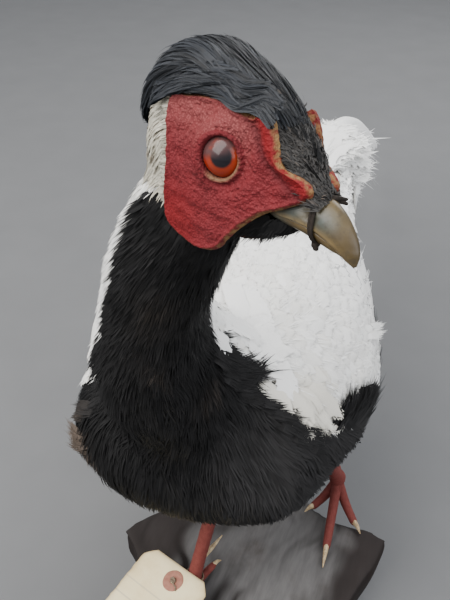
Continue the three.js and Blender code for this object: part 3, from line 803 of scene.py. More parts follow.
def bill_paint():
    """Horn: tan to yellow-brown, greenish grey near the nostril, darker along the cutting edge."""
    paint = Paint("bill_paint", Roughness=0.38, Specular_IOR_Level=0.5)
    streaks = paint.noise(520, 5, 0.6)
    cloud = paint.noise(130, 3)
    colour = paint.layered(
        paint.mix(paint.between(0.35, 0.65, cloud), (0.056, 0.034, 0.01), (0.125, 0.084, 0.029)),
        (paint.number("grey"), paint.between(0.2, 0.5, cloud), (0.05, 0.06, 0.05)),
        (paint.number("edge"), 1.0, (0.22, 0.155, 0.068)), (paint.number("tip"), 0.7, (0.06, 0.042, 0.018)),
        (paint.between(0.45, 0.7, streaks), 0.6, (0.04, 0.03, 0.018)))
    return paint.coat(colour, streaks, 0.12, 0.45)


def bill():
    paint = bill_paint()
    for name, sections, ridge in (("bill_upper", BILL_UPPER, 0.16), ("bill_lower", BILL_LOWER, 0.0)):
        grid, faces = bill_half(sections, ridge)
        x, y, z = grid.T
        middle = curve([s[0] for s in sections], np.linspace(0, 1, BILL_STEPS + 1))
        over_edge = z - np.repeat(middle[:, 2], BILL_SIDES)
        if name == "bill_upper":
            grey = np.exp(-((x - 34) / 4.6) ** 2) * np.exp(-((z + 5.5) / 3.6) ** 2) + smooth(31, 24, x)
            edge = smooth(1.5, 0.2, over_edge) * 0.55
            # A nostril under its horny flap, on each side.
            for side in SIDES.values():
                near = np.hypot((x - 30) / 2.6, (z + 5.4 + 0.4 * (x - 30)) / 1.1)
                flap = np.hypot((x - 30) / 3, (z + 3.4) / 1.2)
                grid[:, 1] -= side * (y * side > 2) * 0.9 * np.exp(-near ** 2)
                grid[:, 1] += side * (y * side > 2) * 0.5 * np.exp(-flap ** 2)
        else:
            grey = smooth(27, 20, x) * 0.8
            edge = smooth(-1.4, 0.0, over_edge) * 0.25
        numbers = {"grey": np.clip(grey, 0, 1), "edge": edge, "tip": smooth(36, 46, x)}
        finished(mesh_object(name + "_horn", from_head(grid), faces, numbers), paint, "bill_horn", name)


def eye(name, side):
    """A glass eye, a little swollen in front, whose pupil looks forward and up from the middle of the lids."""
    radius = EYE["radius"]
    middle, forward, up, out = lid_axes(side)
    centre = middle - out * math.sqrt(radius ** 2 - EYE["opening"] ** 2)
    rings, around = 48, 64
    tilt = np.linspace(0, math.radians(150), rings)
    turn = np.linspace(0, 2 * np.pi, around, endpoint=False)
    swell = radius + 0.35 * np.exp(-(tilt / 0.42) ** 2)
    points = (centre + out * (swell * np.cos(tilt))[:, None, None]
              + forward * (swell * np.sin(tilt))[:, None, None] * np.cos(turn)[None, :, None]
              + up * (swell * np.sin(tilt))[:, None, None] * np.sin(turn)[None, :, None]).reshape(-1, 3)
    faces = grid_faces(rings, around)
    gaze = unit(out + forward * EYE["gaze"][0] + up * EYE["gaze"][1])
    facing = unit(points - centre) @ gaze
    off_axis = radius * np.where(facing > 0, np.sqrt(np.clip(1 - facing ** 2, 0, 1)), 1.0)
    # A milky grey over the upper, back part of the eye is a painted reflection.
    painted_reflection = smooth(-0.5, 2.6, (points - centre) @ (up * 0.85 - forward * 0.5))
    piece = mesh_object(f"eyeball_{name}", from_head(points), faces[:, ::-1] if side < 0 else faces,
                        {"off_axis": off_axis, "painted_reflection": painted_reflection})
    paint = Paint(f"eye_paint_{name}", Roughness=0.16, Specular_IOR_Level=0.27)
    wobble = paint.plus(paint.number("off_axis"), paint.times(paint.noise(700, 3), 0.35))
    pupil, iris = EYE["pupil"], EYE["iris"]
    # The painted reflection, a milky purple-grey, clouds the upper back of the eye.
    reflection_share = paint.times(paint.number("painted_reflection"), paint.between(0.1, 0.5, paint.noise(260, 2)))
    paint.set(Base_Color=paint.layered(
        paint.mix(paint.between(pupil - 0.4, pupil + 0.7, wobble), (0.013, 0.012, 0.015), (0.3, 0.032, 0.009)),
        (paint.between(pupil + 0.5, iris, wobble), 0.6, (0.2, 0.01, 0.005)),
        (paint.between(iris, iris + 0.5, wobble), 1.0, (0.02, 0.01, 0.01)), (reflection_share, 0.95, (0.07, 0.036, 0.036))))
    finished(piece, paint, "eye", f"eye_{name}")


# ---------------- roots on the skin


TRIES = 3.2  # roots tried for each that the spacing leaves room for
CLOSEST = 0.82  # of the spacing, between two roots
CELL = 6.0  # millimetres, wider than the closest roots
NEIGHBOURS = [(i, j, k) for i in (-1, 0, 1) for j in (-1, 0, 1) for k in (-1, 0, 1)]


def clashes(seen, cell, root, near):
    """Whether a root kept in the same cell or one beside it is within the square root of near."""
    x, y, z = root
    for i, j, k in NEIGHBOURS:
        for px, py, pz in seen.get((cell[0] + i, cell[1] + j, cell[2] + k), ()):
            if (px - x) ** 2 + (py - y) ** 2 + (pz - z) ** 2 < near:
                return True
    return False


def scatter(points, triangles, normals, spacing):
    """Evenly spread roots on a surface: no two closer than about the spacing of the place."""
    a, b, c = (points[triangles[:, k]] for k in range(3))
    area = np.linalg.norm(np.cross(b - a, c - a), axis=1) / 2
    gap = spacing((a + b + c) / 3)
    wanted = area / gap ** 2 * TRIES
    chosen = rng.choice(len(triangles), int(wanted.sum()), p=wanted / wanted.sum())
    r, s = rng.random((2, len(chosen)))
    flip = r + s > 1
    r[flip], s[flip] = 1 - r[flip], 1 - s[flip]
    w = np.stack([1 - r - s, r, s], 1)[..., None]
    corner = triangles[chosen]
    roots = (points[corner] * w).sum(1)
    lies = unit((normals[corner] * w).sum(1))
    seen, kept = {}, []
    cells = map(tuple, np.floor(roots / CELL).astype(int).tolist())
    near = ((gap[chosen] * CLOSEST) ** 2).tolist()
    for n, (cell, root) in enumerate(zip(cells, roots.tolist())):
        if not clashes(seen, cell, root, near[n]):
            seen.setdefault(cell, []).append(root)
            kept.append(n)
    return roots[kept], lies[kept]


def surface_tree(points, triangles):
    return BVHTree.FromPolygons([Vector(p) for p in points], triangles.tolist(), all_triangles=True)


def nearest(tree, points):
    """The nearest places of a surface, and its normals there."""
    hits = [tree.find_nearest(Vector(p)) for p in points]
    return [np.array([hit[k] for hit in hits]) for k in (0, 1)]


def owners(points, names):
    """The number in the list of names of the CAD node nearest to each point."""
    trees = [surface_tree(*node_mesh(name)) for name in names]
    return np.argmin([[tree.find_nearest(Vector(p))[3] for p in points] for tree in trees], axis=0)


def settled(tree, roots, normals, lie, length, steps=4):
    """Shafts that follow the surface: points and surface normals from each root along its lie."""
    shafts, ups = [roots], [normals]
    way = square(lie, normals)
    for _ in range(steps):
        at, up = nearest(tree, shafts[-1] + way * (length / steps)[:, None])
        up = unit(up + ups[-1] * 0.8)
        way = square(way, up)
        shafts.append(at)
        ups.append(up)
    return np.stack(shafts, 1), np.stack(ups, 1)


def turned(lie, normals, angle):
    """Turns each direction about its normal."""
    return lie * np.cos(angle)[:, None] + np.cross(normals, lie) * np.sin(angle)[:, None]


# ---------------- plumage of the body

PLUMAGE_NODES = ("neck", "trunk", "wing_left", "wing_right", "thigh_left", "thigh_right", "tail_coverts",
                 "head", "crest")
NECK, _, WING_LEFT, WING_RIGHT, THIGH_LEFT, THIGH_RIGHT, COVERTS, SKULL, CREST_NODE = range(len(PLUMAGE_NODES))
THIGHS = (THIGH_LEFT, THIGH_RIGHT)
ON_HEAD = (SKULL, CREST_NODE)

# Half the angle of the white hind neck on the bird's right and left, down the axis.
WHITE_RIGHT = ((0, 0.08, 0.126, 0.151, 0.17, 0.195, 0.233, 0.264, 0.3, 0.36, 0.44),
               (50, 46, 41, 56, 67, 87, 103, 113, 119, 116, 112))
WHITE_LEFT = ((0, 0.08, 0.13, 0.17, 0.25, 0.34, 0.384, 0.447), (50, 46, 45, 54, 78, 92, 94, 90))

# Faded brown places among the black feathers: where, how wide and how strong.
RUST = [((-89, -83, 211), 6, 1.0), ((-88, -77, 234), 4, 0.5), ((-9, -121, 368), 5, 0.18),
        ((-15, -118, 350), 5, 0.16), ((-19, -112, 325), 5, 0.15), ((-9, -78, 292), 4, 0.3),
        ((-18, -105, 319), 2.5, 0.9), ((2, -104, 340), 4, 0.2)]
# The smooth cream fan of feathers at the bend of the wing: its upper edge and its tip.
BEND = ((5, -45, 265), (22, -30, 260), (44, -40, 230))
# The heights over which the feathers grow smaller up the neck, where its piece starts, and how far back the
# breast's piece goes.
NECK_RISE = (255, 330)
NECK_FEATHERS_FROM = 290
BREAST_TO = -30
# Where the white feathers lie over the black ones, beside the foot of the neck on the bird's left.
NECK_FOOT = ((-14, -72, 322), (-11, -56, 302), (-6, -52, 286), (4, -50, 270), (18, -50, 255))


def whiteness(points, owner):
    """Whether the plumage is white: on the hind neck, back, wings and ear. It is black elsewhere."""
    x, y, z = points.T
    share, angle, _, _ = axis_lookup(points)
    wobble = grain(points, 14, 4)
    half = np.where(angle < 0, np.interp(share, *WHITE_RIGHT), np.interp(share, *WHITE_LEFT))
    neck = np.abs(angle) < np.radians(half) + 0.07 * wobble
    front = y > -40 - 17 * smooth(-40, -75, x) + 14 * smooth(250, 215, z) + 3 * wobble
    edge = (203 + (25 - 5 * smooth(-25, 5, y)) * smooth(-60, -50, y) * smooth(32, 14, y) * (x > -30) + 2 * wobble
            + 14 * smooth(120, 230, y))
    body = front & (z > edge)
    head_x, _, head_z = to_head(points).T
    ear = (head_x < -21) & (head_z > -22)
    white = np.where((owner == NECK) & (z > 268), neck, body)
    white = np.where(np.isin(owner, (*THIGHS, COVERTS)), False, white)
    white = np.where((owner == SKULL) | ((owner == NECK) & (z > 403)), ear | (neck & (z > 395)), white)
    return np.where(owner == CREST_NODE, False, white)


def lie_of(points, normals, owner, unrest=1.0):
    """The way that the feathers point at each place."""
    _, y, z = points.T
    _, angle, along, _ = axis_lookup(points)
    fan = blend(unit(points - np.array(FAN)), (-0.06, 1.0, -0.05), smooth(-50, 70, y)[:, None])
    way = blend(unit(fan), unit(along), smooth(262, 325, z)[:, None])
    for node, side in ((WING_LEFT, 1), (WING_RIGHT, -1)):
        mine = owner == node
        out = side * (0.14 - 0.36 * smooth(-20, 120, y[mine]))
        way[mine] = np.stack([out, np.ones(mine.sum()), -0.22 * smooth(90, 0, y[mine])], 1)
    way[np.isin(owner, THIGHS)] = (0, 0.3, -1)
    way[owner == COVERTS] = (-0.05, 1, -0.15)
    way[np.isin(owner, ON_HEAD)] = np.array([-1.0, 0, -0.45]) @ HEAD_AXES
    swirl = grain(points, 30, 9) * 0.62 + grain(points, 13, 10) * 0.4 + rng.normal(0, 0.06, len(points))
    calm = smooth(-0.5, -1.0, angle) * smooth(265, 300, z)
    return turned(unit(way), normals, swirl * unrest * (1 - 0.75 * calm))


def in_face(points, margin):
    """Whether each point is under the bare face, by more than the margin."""
    x, y, z = to_head(points).T
    dx, dz = x - LIDS["at"][0], z - LIDS["at"][2]
    edge = face_radius(np.arctan2(dz, dx)) - margin
    return (np.hypot(dx, dz) < edge) & (np.abs(y) > 5.5) & (np.abs(z) < 60)


def rustiness(points):
    """How brown each place is, from 0 to 1."""
    total = np.zeros(len(points))
    for place, wide, strength in RUST:
        total += strength * np.exp(-((points - np.array(place)) ** 2).sum(1) / (2 * wide * wide))
    return np.clip(total, 0, 1)


def fluff(points):
    """How far the loose feathers at the bird's right of the neck's foot stand out, in millimetres."""
    _, angle, _, _ = axis_lookup(points)
    foot = np.exp(-((points[:, 2] - 302) / 25) ** 2) * smooth(245, 262, points[:, 2])
    return 9.5 * foot * smooth(-0.7, -1.6, angle) * smooth(-3.0, -2.4, angle)


def sleek(points):
    """Where the feathers of the left wing and rump lie close."""
    x, y, _ = points.T
    return smooth(35, 70, y) * smooth(200, 160, y) * smooth(0, 20, x)


def black_paint():
    return feather_paint("black_feather_paint", (0.0009, 0.0009, 0.0011), (0.033, 0.0315, 0.0318), relief=0.4,
                         Roughness=0.66, Specular_IOR_Level=0.2)


def soft_plumage(skin, tree, black, pale):
    """The soft feathers: black on the front and under the body, small ones on the head, white on the nape."""
    def gap(p):
        near_head = smooth(70, 34, np.linalg.norm(p - HEAD_AT, axis=1))
        return 3.3 - 0.8 * smooth(*NECK_RISE, p[:, 2]) - near_head

    roots, ups = scatter(*skin, gap)
    owner = owners(roots, PLUMAGE_NODES)
    head_x, _, head_z = to_head(roots).T
    small = smooth(62, 36, np.linalg.norm(roots - HEAD_AT, axis=1))
    lie = unit(lie_of(roots, ups, owner))
    # A feather has the colour of the place where its middle lies.
    white = whiteness(roots + lie * (8 - 4 * small)[:, None], owner)
    on_back = white & (roots[:, 2] <= 300) & (small < 0.05)
    ear = (head_x < -20) & (head_z > -18) & (small > 0.3)
    chin = (head_x > 13) & (head_z < -5) & (head_z > -40) & (small > 0.5)
    keep = ~in_face(roots, 0.5) & (head_x < 30) & ~ear & ~chin
    keep &= ~on_back | ((roots[:, 1] < 110) & (rng.random(len(roots)) < 0.55))
    roots, ups, owner, white, small, lie, on_back = (
        kind[keep] for kind in (roots, ups, owner, white, small, lie, on_back))
    z = roots[:, 2]
    count = len(roots)
    up_neck = smooth(*NECK_RISE, z)
    length = (34 - 10 * up_neck) * (1 - 0.5 * small) * rng.uniform(0.75, 1.2, count)
    length[np.isin(owner, THIGHS)] *= 0.6
    length[on_back] = rng.uniform(22, 34, on_back.sum())
    width = (7.0 - 2.0 * up_neck) * (1 - 0.5 * small) * rng.uniform(0.75, 1.2, count)
    width[on_back] *= 0.8
    shafts, tops = settled(tree, roots, ups, lie, length)
    # Black tips stand over the white feathers that they meet, but not beside the foot of the neck or the nape.
    bordering = whiteness(roots + lie * 14, owner) & ~white
    ahead = bordering * (1 - smooth(16, 11, distance_to(roots, NECK_FOOT)))
    ahead = ahead * (1 - 0.8 * smooth(-0.9, -1.2, axis_lookup(roots)[1]) * smooth(290, 305, z))
    lift = coat_depth(roots) * rng.uniform(0.8, 1.05, count) * (1 - 0.3 * (white & (z > 300)))
    lift = (lift + 0.6 * on_back) * (1 - 0.75 * sleek(roots)) + 0.3 + fluff(roots) + 2.8 * ahead
    lift = lift + 1.6 * np.clip(grain(roots, 12, 21) + 0.1, 0, 1) * (~white & ~bordering) * (1 - small)
    forms = [tuft(7, 0.34, 0.1, s) for s in range(6)]
    # The black feathers are paler on the bird's left of the breast, and a little up the neck.
    worn = smooth(-24, 16, roots[:, 0]) * smooth(310, 270, z) * smooth(190, 215, z) + 0.08 * smooth(300, 330, z)
    # The 45 mm patches of lighter tone are painted sheen; the smaller ones vary the tone at random.
    patchy = 0.22 * grain(roots, 16, 2) + 0.15 * grain(roots, 45, 15)
    tone = np.clip(0.03 + worn + patchy + rng.normal(0, 0.1, count), 0, 1)
    rust = rustiness(roots) * rng.uniform(0.4, 1, count)
    patch = body_patch(roots)
    roll = rng.normal(0, 0.25, count)
    on_neck = z > NECK_FEATHERS_FROM
    for name, mine, is_pale, nodes in (
        ("neck_feathers", ~white & on_neck, False, ["neck"]),
        ("breast_feathers", ~white & ~on_neck & (roots[:, 1] < BREAST_TO), False, ["trunk"]),
        ("belly_feathers", ~white & ~on_neck & (roots[:, 1] >= BREAST_TO), False,
         ["trunk", "thigh_left", "thigh_right", "tail_coverts"]),
        ("nape_feathers", white & ~on_back, True, ["neck"]),
        ("mantle_feathers", on_back, True, ["trunk"]),
    ):
        numbers = {"tone": tone[mine], "rust": rust[mine] * (not is_pale)}
        if is_pale:
            numbers.update(tone=np.clip(0.7 + tone[mine], 0, 1), ink=0.5 * inking(roots[mine]),
                           cream=0.3 * small[mine])
        piece = feathers(name, shafts[mine], tops[mine], width[mine], lift[mine], forms, patch[mine], numbers,
                         roll=roll[mine])
        finished(piece, pale if is_pale else black, "white_feathers" if is_pale else "black_feathers", *nodes)


def inking(points):
    """How strongly the white feathers are lined: little over the shoulders, more low down and behind."""
    _, y, z = points.T
    low_down = smooth(-30, 60, y + (240 - z)) * smooth(265, 232, z)
    return np.clip(0.08 + 0.8 * low_down + 0.4 * smooth(40, 150, y), 0, 1)


def firm_plumage(skin, tree, paint):
    """The firm white feathers of the back and wings."""
    def gap(p):
        return 5.6 + 1.9 * smooth(0, 150, p[:, 1])

    roots, ups = scatter(*skin, gap)
    owner = owners(roots, PLUMAGE_NODES)
    lie = lie_of(roots, ups, owner, unrest=0.4)
    # Some start just under the black ones, so that no skin shows at the border.
    starts = whiteness(roots, owner) | (whiteness(roots + unit(lie) * 7, owner) & (roots[:, 1] < 60))
    ahead = 13 + 10 * smooth(240, 255, roots[:, 2]) * smooth(-20, -35, roots[:, 1]) * smooth(13, 5, roots[:, 0])
    keep = starts & whiteness(roots + unit(lie) * ahead[:, None], owner) & (roots[:, 2] < 322)
    keep &= ~np.isin(owner, ON_HEAD)
    roots, ups, owner, lie = (a[keep] for a in (roots, ups, owner, lie))
    count = len(roots)
    y = roots[:, 1]
    back = smooth(-20, 130, y)
    cream = 0.8 * np.exp(-(distance_to(roots, BEND) / 11) ** 4)
    cream = np.maximum(cream, 0.35 * smooth(40, 0, y) * rng.uniform(0, 1, count))
    length = (26 + 20 * back) * rng.uniform(0.85, 1.15, count)
    width = (13.5 + 7 * back) * rng.uniform(0.85, 1.15, count)
    shafts, tops = settled(tree, roots, ups, lie, length, steps=5)
    under_black = ~whiteness(roots, owner)
    lift = coat_depth(roots) * rng.uniform(0.9, 1.0, count) * (1 - 0.85 * under_black) * (1 - 0.8 * sleek(roots))
    lift = lift + 0.3 + fluff(roots) * ~under_black
    tone = np.clip(0.6 + 0.25 * grain(roots, 25, 5) + rng.normal(0, 0.16, count), 0, 1)
    ink = inking(roots) * (1 - cream) * rng.uniform(0.4, 1, count)
    numbers = {"tone": tone, "ink": ink, "cream": cream, "rust": np.zeros(count)}
    forms = [vane(9, 20 + s, fray=0.06) for s in range(6)]
    piece = feathers("back_feathers", shafts, tops, width, lift, forms, body_patch(roots), numbers, rise=0.6,
                     roll=rng.normal(0, 0.04, count))
    finished(piece, paint, "white_feathers", "trunk", "wing_left", "wing_right")


# The long smooth feathers beside the foot of the neck: their middle lines, half widths and heights over the skin.
SCAPULARS = [
    (((-40, 24, 281), (-26, 0, 284), (-8, -24, 282), (4, -38, 270)), 6.5, 4.6),
    (((-34, 30, 281), (-18, 6, 282), (0, -16, 276), (12, -30, 264)), 6.5, 3.8),
    (((-12, -10, 282), (2, -24, 274), (14, -34, 262), (22, -42, 250)), 6.5, 4.0),
]


def scapulars(tree, paint):
    """The long smooth feathers beside the foot of the neck, laid over the skin one by one."""
    stations = np.linspace(0, 1, 15)
    quills = []
    for path, half, height in SCAPULARS:
        shaft, ups = nearest(tree, curve(path, stations))
        ups = unit(ups)
        shaft = shaft + ups * (height * smooth(-0.1, 0.35, stations))[:, None]
        quills.append((quill(laid(shaft, ups, 0.8), half, rows=48, columns=9, loose=0.1), 0.0, 0.75))
    quill_piece("scapular_feathers", quills, paint, "trunk")


# Groups of longer feathers that the photograph shows one by one. Each row is: the line of roots from a to b,
# where their tips point from each end, how many, their length, width, height over the skin at the root and at
# the tip, and the form.
ACCENTS = {
    "flank_tufts": ("black_feathers", "trunk", [
        ((46, -36, 222), (56, -6, 210), (0.3, 0.85, 0.45), (0.2, 0.9, 0.42), 60, 31, 6.5, 3.5, 8, "tuft"),
        ((52, -22, 214), (59, 4, 206), (0.35, 0.8, 0.5), (0.3, 0.85, 0.45), 40, 30, 6, 4.5, 12, "tuft"),
        ((55, -10, 212), (60, 8, 208), (0.4, 0.8, 0.55), (0.4, 0.8, 0.4), 12, 31, 2.2, 6, 13, "wisp"),
        ((-2, -54, 276), (6, -48, 268), (0.7, 0.6, -0.2), (0.7, 0.6, -0.15), 6, 27, 1.4, 5.5, 9.5, "wisp"),
        ((-12, -62, 300), (-7, -57, 285), (0.6, 0.5, -0.6), (0.65, 0.53, -0.5), 13, 20, 5, 4, 7.5, "tuft"),
        ((-14, -68, 298), (-2, -60, 272), (0.6, 0.5, -0.6), (0.68, 0.5, -0.4), 34, 22, 5.5, 5.5, 8.5, "tuft"),
        ((-4, -62, 276), (12, -57, 256), (0.7, 0.5, -0.4), (0.75, 0.45, -0.35), 26, 18, 5, 5.5, 8.5, "tuft"),
        ((12, -57, 256), (40, -50, 233), (0.75, 0.42, -0.35), (0.75, 0.45, -0.2), 44, 15, 4.5, 5.5, 9, "tuft"),
        ((-6, -58, 284), (3, -51, 270), (0.66, 0.55, -0.35), (0.68, 0.55, -0.3), 22, 24, 4.5, 5, 9, "tuft"),
    ]),
    "breast_tufts": ("black_feathers", "trunk", [
        ((-84, -76, 240), (-88, -74, 228), (-0.8, -0.3, -0.1), (-0.8, -0.3, -0.15), 14, 15, 4.5, 3, 9, "tuft"),
        ((-88, -81, 217), (-85, -86, 206), (-0.85, -0.3, 0.05), (-0.85, -0.3, -0.1), 20, 18, 4.5, 3, 11, "tuft"),
    ]),
    "shoulder_plumes": ("white_feathers", "trunk", [
        ((-2, -82, 346), (-14, -60, 318), (0.1, 0.55, -0.75), (0.3, 0.6, -0.7), 9, 44, 11, 2, 6, "vane"),
        ((-18, -50, 306), (-4, -40, 288), (0.4, 0.75, -0.45), (0.55, 0.7, -0.4), 9, 42, 12, 3.5, 7, "vane"),
        ((-52, -92, 330), (-52, -80, 296), (-0.62, 0.42, -0.75), (-0.75, 0.3, -0.6), 22, 44, 8, 4, 9, "tuft"),
        ((-64, -80, 292), (-70, -70, 274), (-0.6, 0.35, -0.7), (-0.6, 0.35, -0.7), 16, 30, 7, 5, 9, "tuft"),
        ((0, -45, 273), (8, -42, 267), (0.8, 0.0, -0.6), (0.8, 0.0, -0.6), 7, 24, 8, 2, 4, "vane"),
        ((6, -46, 266), (24, -30, 258), (0.72, 0.1, -0.72), (0.66, -0.1, -0.78), 15, 36, 9, 3.5, 7, "vane"),
        ((24, -40, 250), (36, -34, 244), (0.5, -0.15, -0.85), (0.35, -0.2, -0.9), 14, 22, 4.5, 4, 8, "tuft"),
        ((44, 44, 234), (48, 66, 231), (0.75, 0.45, 0.12), (0.7, 0.5, 0.25), 10, 26, 4, 3, 11, "tuft"),
    ]),
}


def accents(tree, paints):
    """The groups of longer feathers, one piece for each group and form."""
    forms = {"tuft": [tuft(7, 0.3, 0.15, s) for s in range(5)], "wisp": [ribbon(7, 0.35)],
             "vane": [vane(12, 40 + s, tip=0.72) for s in range(4)]}
    for name, (slot, node, rows) in ACCENTS.items():
        kinds = sorted({row[-1] for row in rows})
        for form in kinds:
            groups = []
            for a, b, way_a, way_b, count, length, width, low, high, kind in rows:
                if kind != form:
                    continue
                t = ((np.arange(count) + rng.uniform(0.2, 0.8, count)) / count)[:, None]
                line = blend(a, b, t)
                roots, normals = nearest(tree, line + rng.normal(0, 1.6, line.shape))
                lie = turned(unit(blend(way_a, way_b, t)), normals, rng.normal(0, 0.16, count))
                reach = length * rng.uniform(0.8, 1.15, count)
                groups.append((*settled(tree, roots, normals, lie, reach, steps=6),
                               width * rng.uniform(0.8, 1.15, count), low * rng.uniform(0.7, 1.1, count),
                               high * rng.uniform(0.65, 1.1, count)))
            shafts, ups, width, base, lift = (np.concatenate(column) for column in zip(*groups))
            shafts = shafts + ups * base[:, None, None] * smooth(0, 0.3, np.linspace(0, 1, 7))[None, :, None]
            count = len(shafts)
            roots = shafts[:, 0]
            tone, rust = rng.uniform(0.15, 0.5, count), rustiness(roots) * rng.uniform(0.6, 1, count)
            numbers = {"tone": tone, "rust": rust}
            if slot == "white_feathers":
                zero = np.zeros(count)
                cream = 0.9 * np.exp(-(distance_to(roots, BEND) / 12) ** 4)
                numbers = {"tone": 0.2 + 1.1 * tone, "rust": zero, "ink": zero, "cream": cream}
            piece = feathers(f"{name}_{form}" if len(kinds) > 1 else name, shafts, ups, width,
                             np.maximum(lift - base, 0.5), forms[form], body_patch(roots), numbers, rise=1.3,
                             roll=rng.normal(0, 0.2, count))
            finished(piece, paints[slot], slot, node)


# ---------------- crest, bristles, chin and ear

CREST = [  # middle, half width, up and down, in the head's axes, from the brow to the nape
    ((32, 0, -3), 2, 2, 2), ((26, 0, 2), 6, 3.8, 4), ((12, 0, 14), 9, 5.5, 7), ((-8, 0, 19.5), 12.5, 7.5, 9),
    ((-24, 0, 20), 13, 9, 10), ((-37, 0, 12), 12, 8.5, 9), ((-45, 0, -2), 8, 6, 6), ((-46, 0, -10), 2.5, 2, 2),
]
# The top of the bare face and the line of the nape behind it, in the head's side view.
BROW = ((-48, -42, -36, -31, -27, -20, -11, -5, 1.5, 8.5, 22),
        (-20, -6, 3.5, 7.2, 10, 14, 16, 16.2, 14.8, 16.6, 9))


def crest_place(s, angle, out):
    """A point over the crown: s from the brow to the nape, angle from the top, out from the crest's surface."""
    middle, size = (curve([c[part] for c in CREST], s) for part in (0, slice(1, 4)))
    ahead, behind = (curve([c[0] for c in CREST], np.clip(s + step, 0, 1)) for step in (0.004, -0.004))
    along = unit(ahead - behind)
    top = square(np.array([0.0, 0, 1]), along)
    across = np.cross(along, top)
    high = np.where(np.cos(angle) > 0, size[..., 1], size[..., 2])
    spot = (middle + across * ((size[..., 0] + out) * np.sin(angle))[..., None]
            + top * ((high + out) * np.cos(angle))[..., None])
    normal = unit(across * (np.sin(angle) / size[..., 0])[..., None] + top * (np.cos(angle) / high)[..., None])
    return spot, normal


def crest():
    """The long strands of the crown, and those that sweep back along the top of each cheek."""
    stations = 10
    t = np.linspace(0, 1, stations)[None]
    # Long strands over the crown, gathered in locks.
    count = 5200
    start = 0.27 + rng.beta(1.0, 1.25, count) * 0.48
    angle = rng.uniform(-1.75, 1.75, count)
    layer = rng.random(count)
    reach = rng.uniform(0.16, 0.36, count) * (0.45 + 0.55 * smooth(0.27, 0.42, start))
    s = np.clip(start[:, None] + reach[:, None] * t, 0.0, 0.985)
    spread = np.stack([start * 46, angle * 11, np.zeros(count)], 1)
    lock, fine = grain(spread, 7, 3), grain(spread, 2.6, 5)
    pull = (lock * 0.42 + fine * 0.12)[:, None] * t ** 1.2
    sweep = angle[:, None] * (1 - 0.18 * t) + pull + rng.normal(0, 0.05, (count, 1)) * t
    out = (-2.6 + 2.2 * layer[:, None] * (0.35 + 0.65 * t) + 0.6 * t + (1.1 * lock + 0.5 * fine)[:, None] * t
           + 1.1 * (rng.random((count, 1)) > 0.97) * t ** 2)
    # On the bird's left of the brow the strands stay inside the bare face's far edge.
    out = out - 1.4 * smooth(0.34, 0.2, s) * (angle > 0.4)[:, None]
    spots, normals = crest_place(s, sweep, out)
    width = rng.uniform(0.6, 1.2, count) * (0.6 + 0.4 * smooth(0.27, 0.4, start))
    # The strands over the middle of the brow are nearly black, those behind are greyer with painted sheen, and a
    # lower tone between the locks is painted shade.
    tone = (0.5 + 0.55 * lock - 0.6 * smooth(-0.85, -0.5, angle) * smooth(0.47, 0.4, start)
            + 0.15 * smooth(0.5, 0.6, start))
    groups = [(spots, normals, width, tone, start / 0.75, 0.5 + angle / 3.8)]

    # Strands that sweep back along the top of each cheek and hang a little over its edge.
    for side in SIDES.values():
        shown = side < 0
        count = 1150 if shown else 500
        x0 = rng.uniform(-22, 15 if shown else -2, count)
        x = np.maximum(x0[:, None] - rng.uniform(13, 30, count)[:, None] * t, -37 + 3 * rng.random((count, 1)))
        near, far = rng.uniform(0.6, 9.5 if shown else 4, count), rng.uniform(-0.9, 8 if shown else 4, count)
        over = blend(near[:, None], far[:, None], t)
        over = np.where(x < -24, np.maximum(over, 0.5), over)
        z = np.interp(x, *BROW) + over
        ripple = grain(np.stack([x0, near * 2, np.full(count, 9.0)], 1), 6, side)
        y = side * (cheek_out(x, np.minimum(z, 24)) + 0.4 + 1.3 * rng.random((count, 1))
                    + 0.8 * ripple[:, None] * t - 2.5 * smooth(-26, -42, x) - 2.2 * (not shown))
        way = np.broadcast_to(unit([0.0, side * 0.85, 0.5]), (count, stations, 3))
        groups.append((np.stack([x, y, z], -1), way, rng.uniform(0.55, 1.1, count), 0.45 + 0.4 * ripple,
                       (x0 + 40) / 60, 0.5 + side * (0.3 + near / 60)))

    spots, normals, width, tone, u, v = (np.concatenate(column) for column in zip(*groups))
    count = len(spots)
    patch = np.stack([0.02 + 0.96 * np.clip(u, 0, 1), 0.02 + 0.96 * np.clip(v, 0, 1)], 1)
    tone = np.clip(0.9 * tone + rng.normal(0, 0.3, count), 0, 1)
    piece = feathers("crest_feathers", from_head(spots), normals @ HEAD_AXES, width, np.full(count, 0.3),
                     [ribbon(9, 0.55), ribbon(9, 0.75)], patch, {"tone": tone, "rust": np.zeros(count)},
                     roll=rng.normal(0, 0.35, count))
    # The paint's light end, a bluish grey, is painted sheen on the black strands.
    paint = feather_paint("crest_paint", (0.0008, 0.001, 0.0017), (0.027, 0.031, 0.039), relief=0.3,
                          Roughness=0.45, Specular_IOR_Level=0.3)
    finished(piece, paint, "crest", "crest")


HAIR = np.linspace(0, 1, 5)[:, None]  # the stations of a short hair


def strands(name, rows, paint, slot):
    """Short hairs of the head from (path in the head's axes, outward way, width, tone, rust) rows."""
    paths, ways, width, tone, rust = (np.array(column, float) for column in zip(*rows))
    x, y, z = to_head(from_head(paths[:, 0])).T
    patch = np.stack([0.5 + x / 100, 0.5 + 0.47 * (z + 8) / 60 * np.sign(y + 1e-6)], 1)
    ups = np.repeat((unit(ways) @ HEAD_AXES)[:, None], paths.shape[1], 1)
    piece = feathers(name, from_head(paths), ups, width, np.full(len(rows), 0.35), [ribbon(6, 0.5)], patch,
                     {"tone": tone, "rust": rust}, roll=rng.normal(0, 0.5, len(rows)))
    finished(piece, paint, slot, "head")


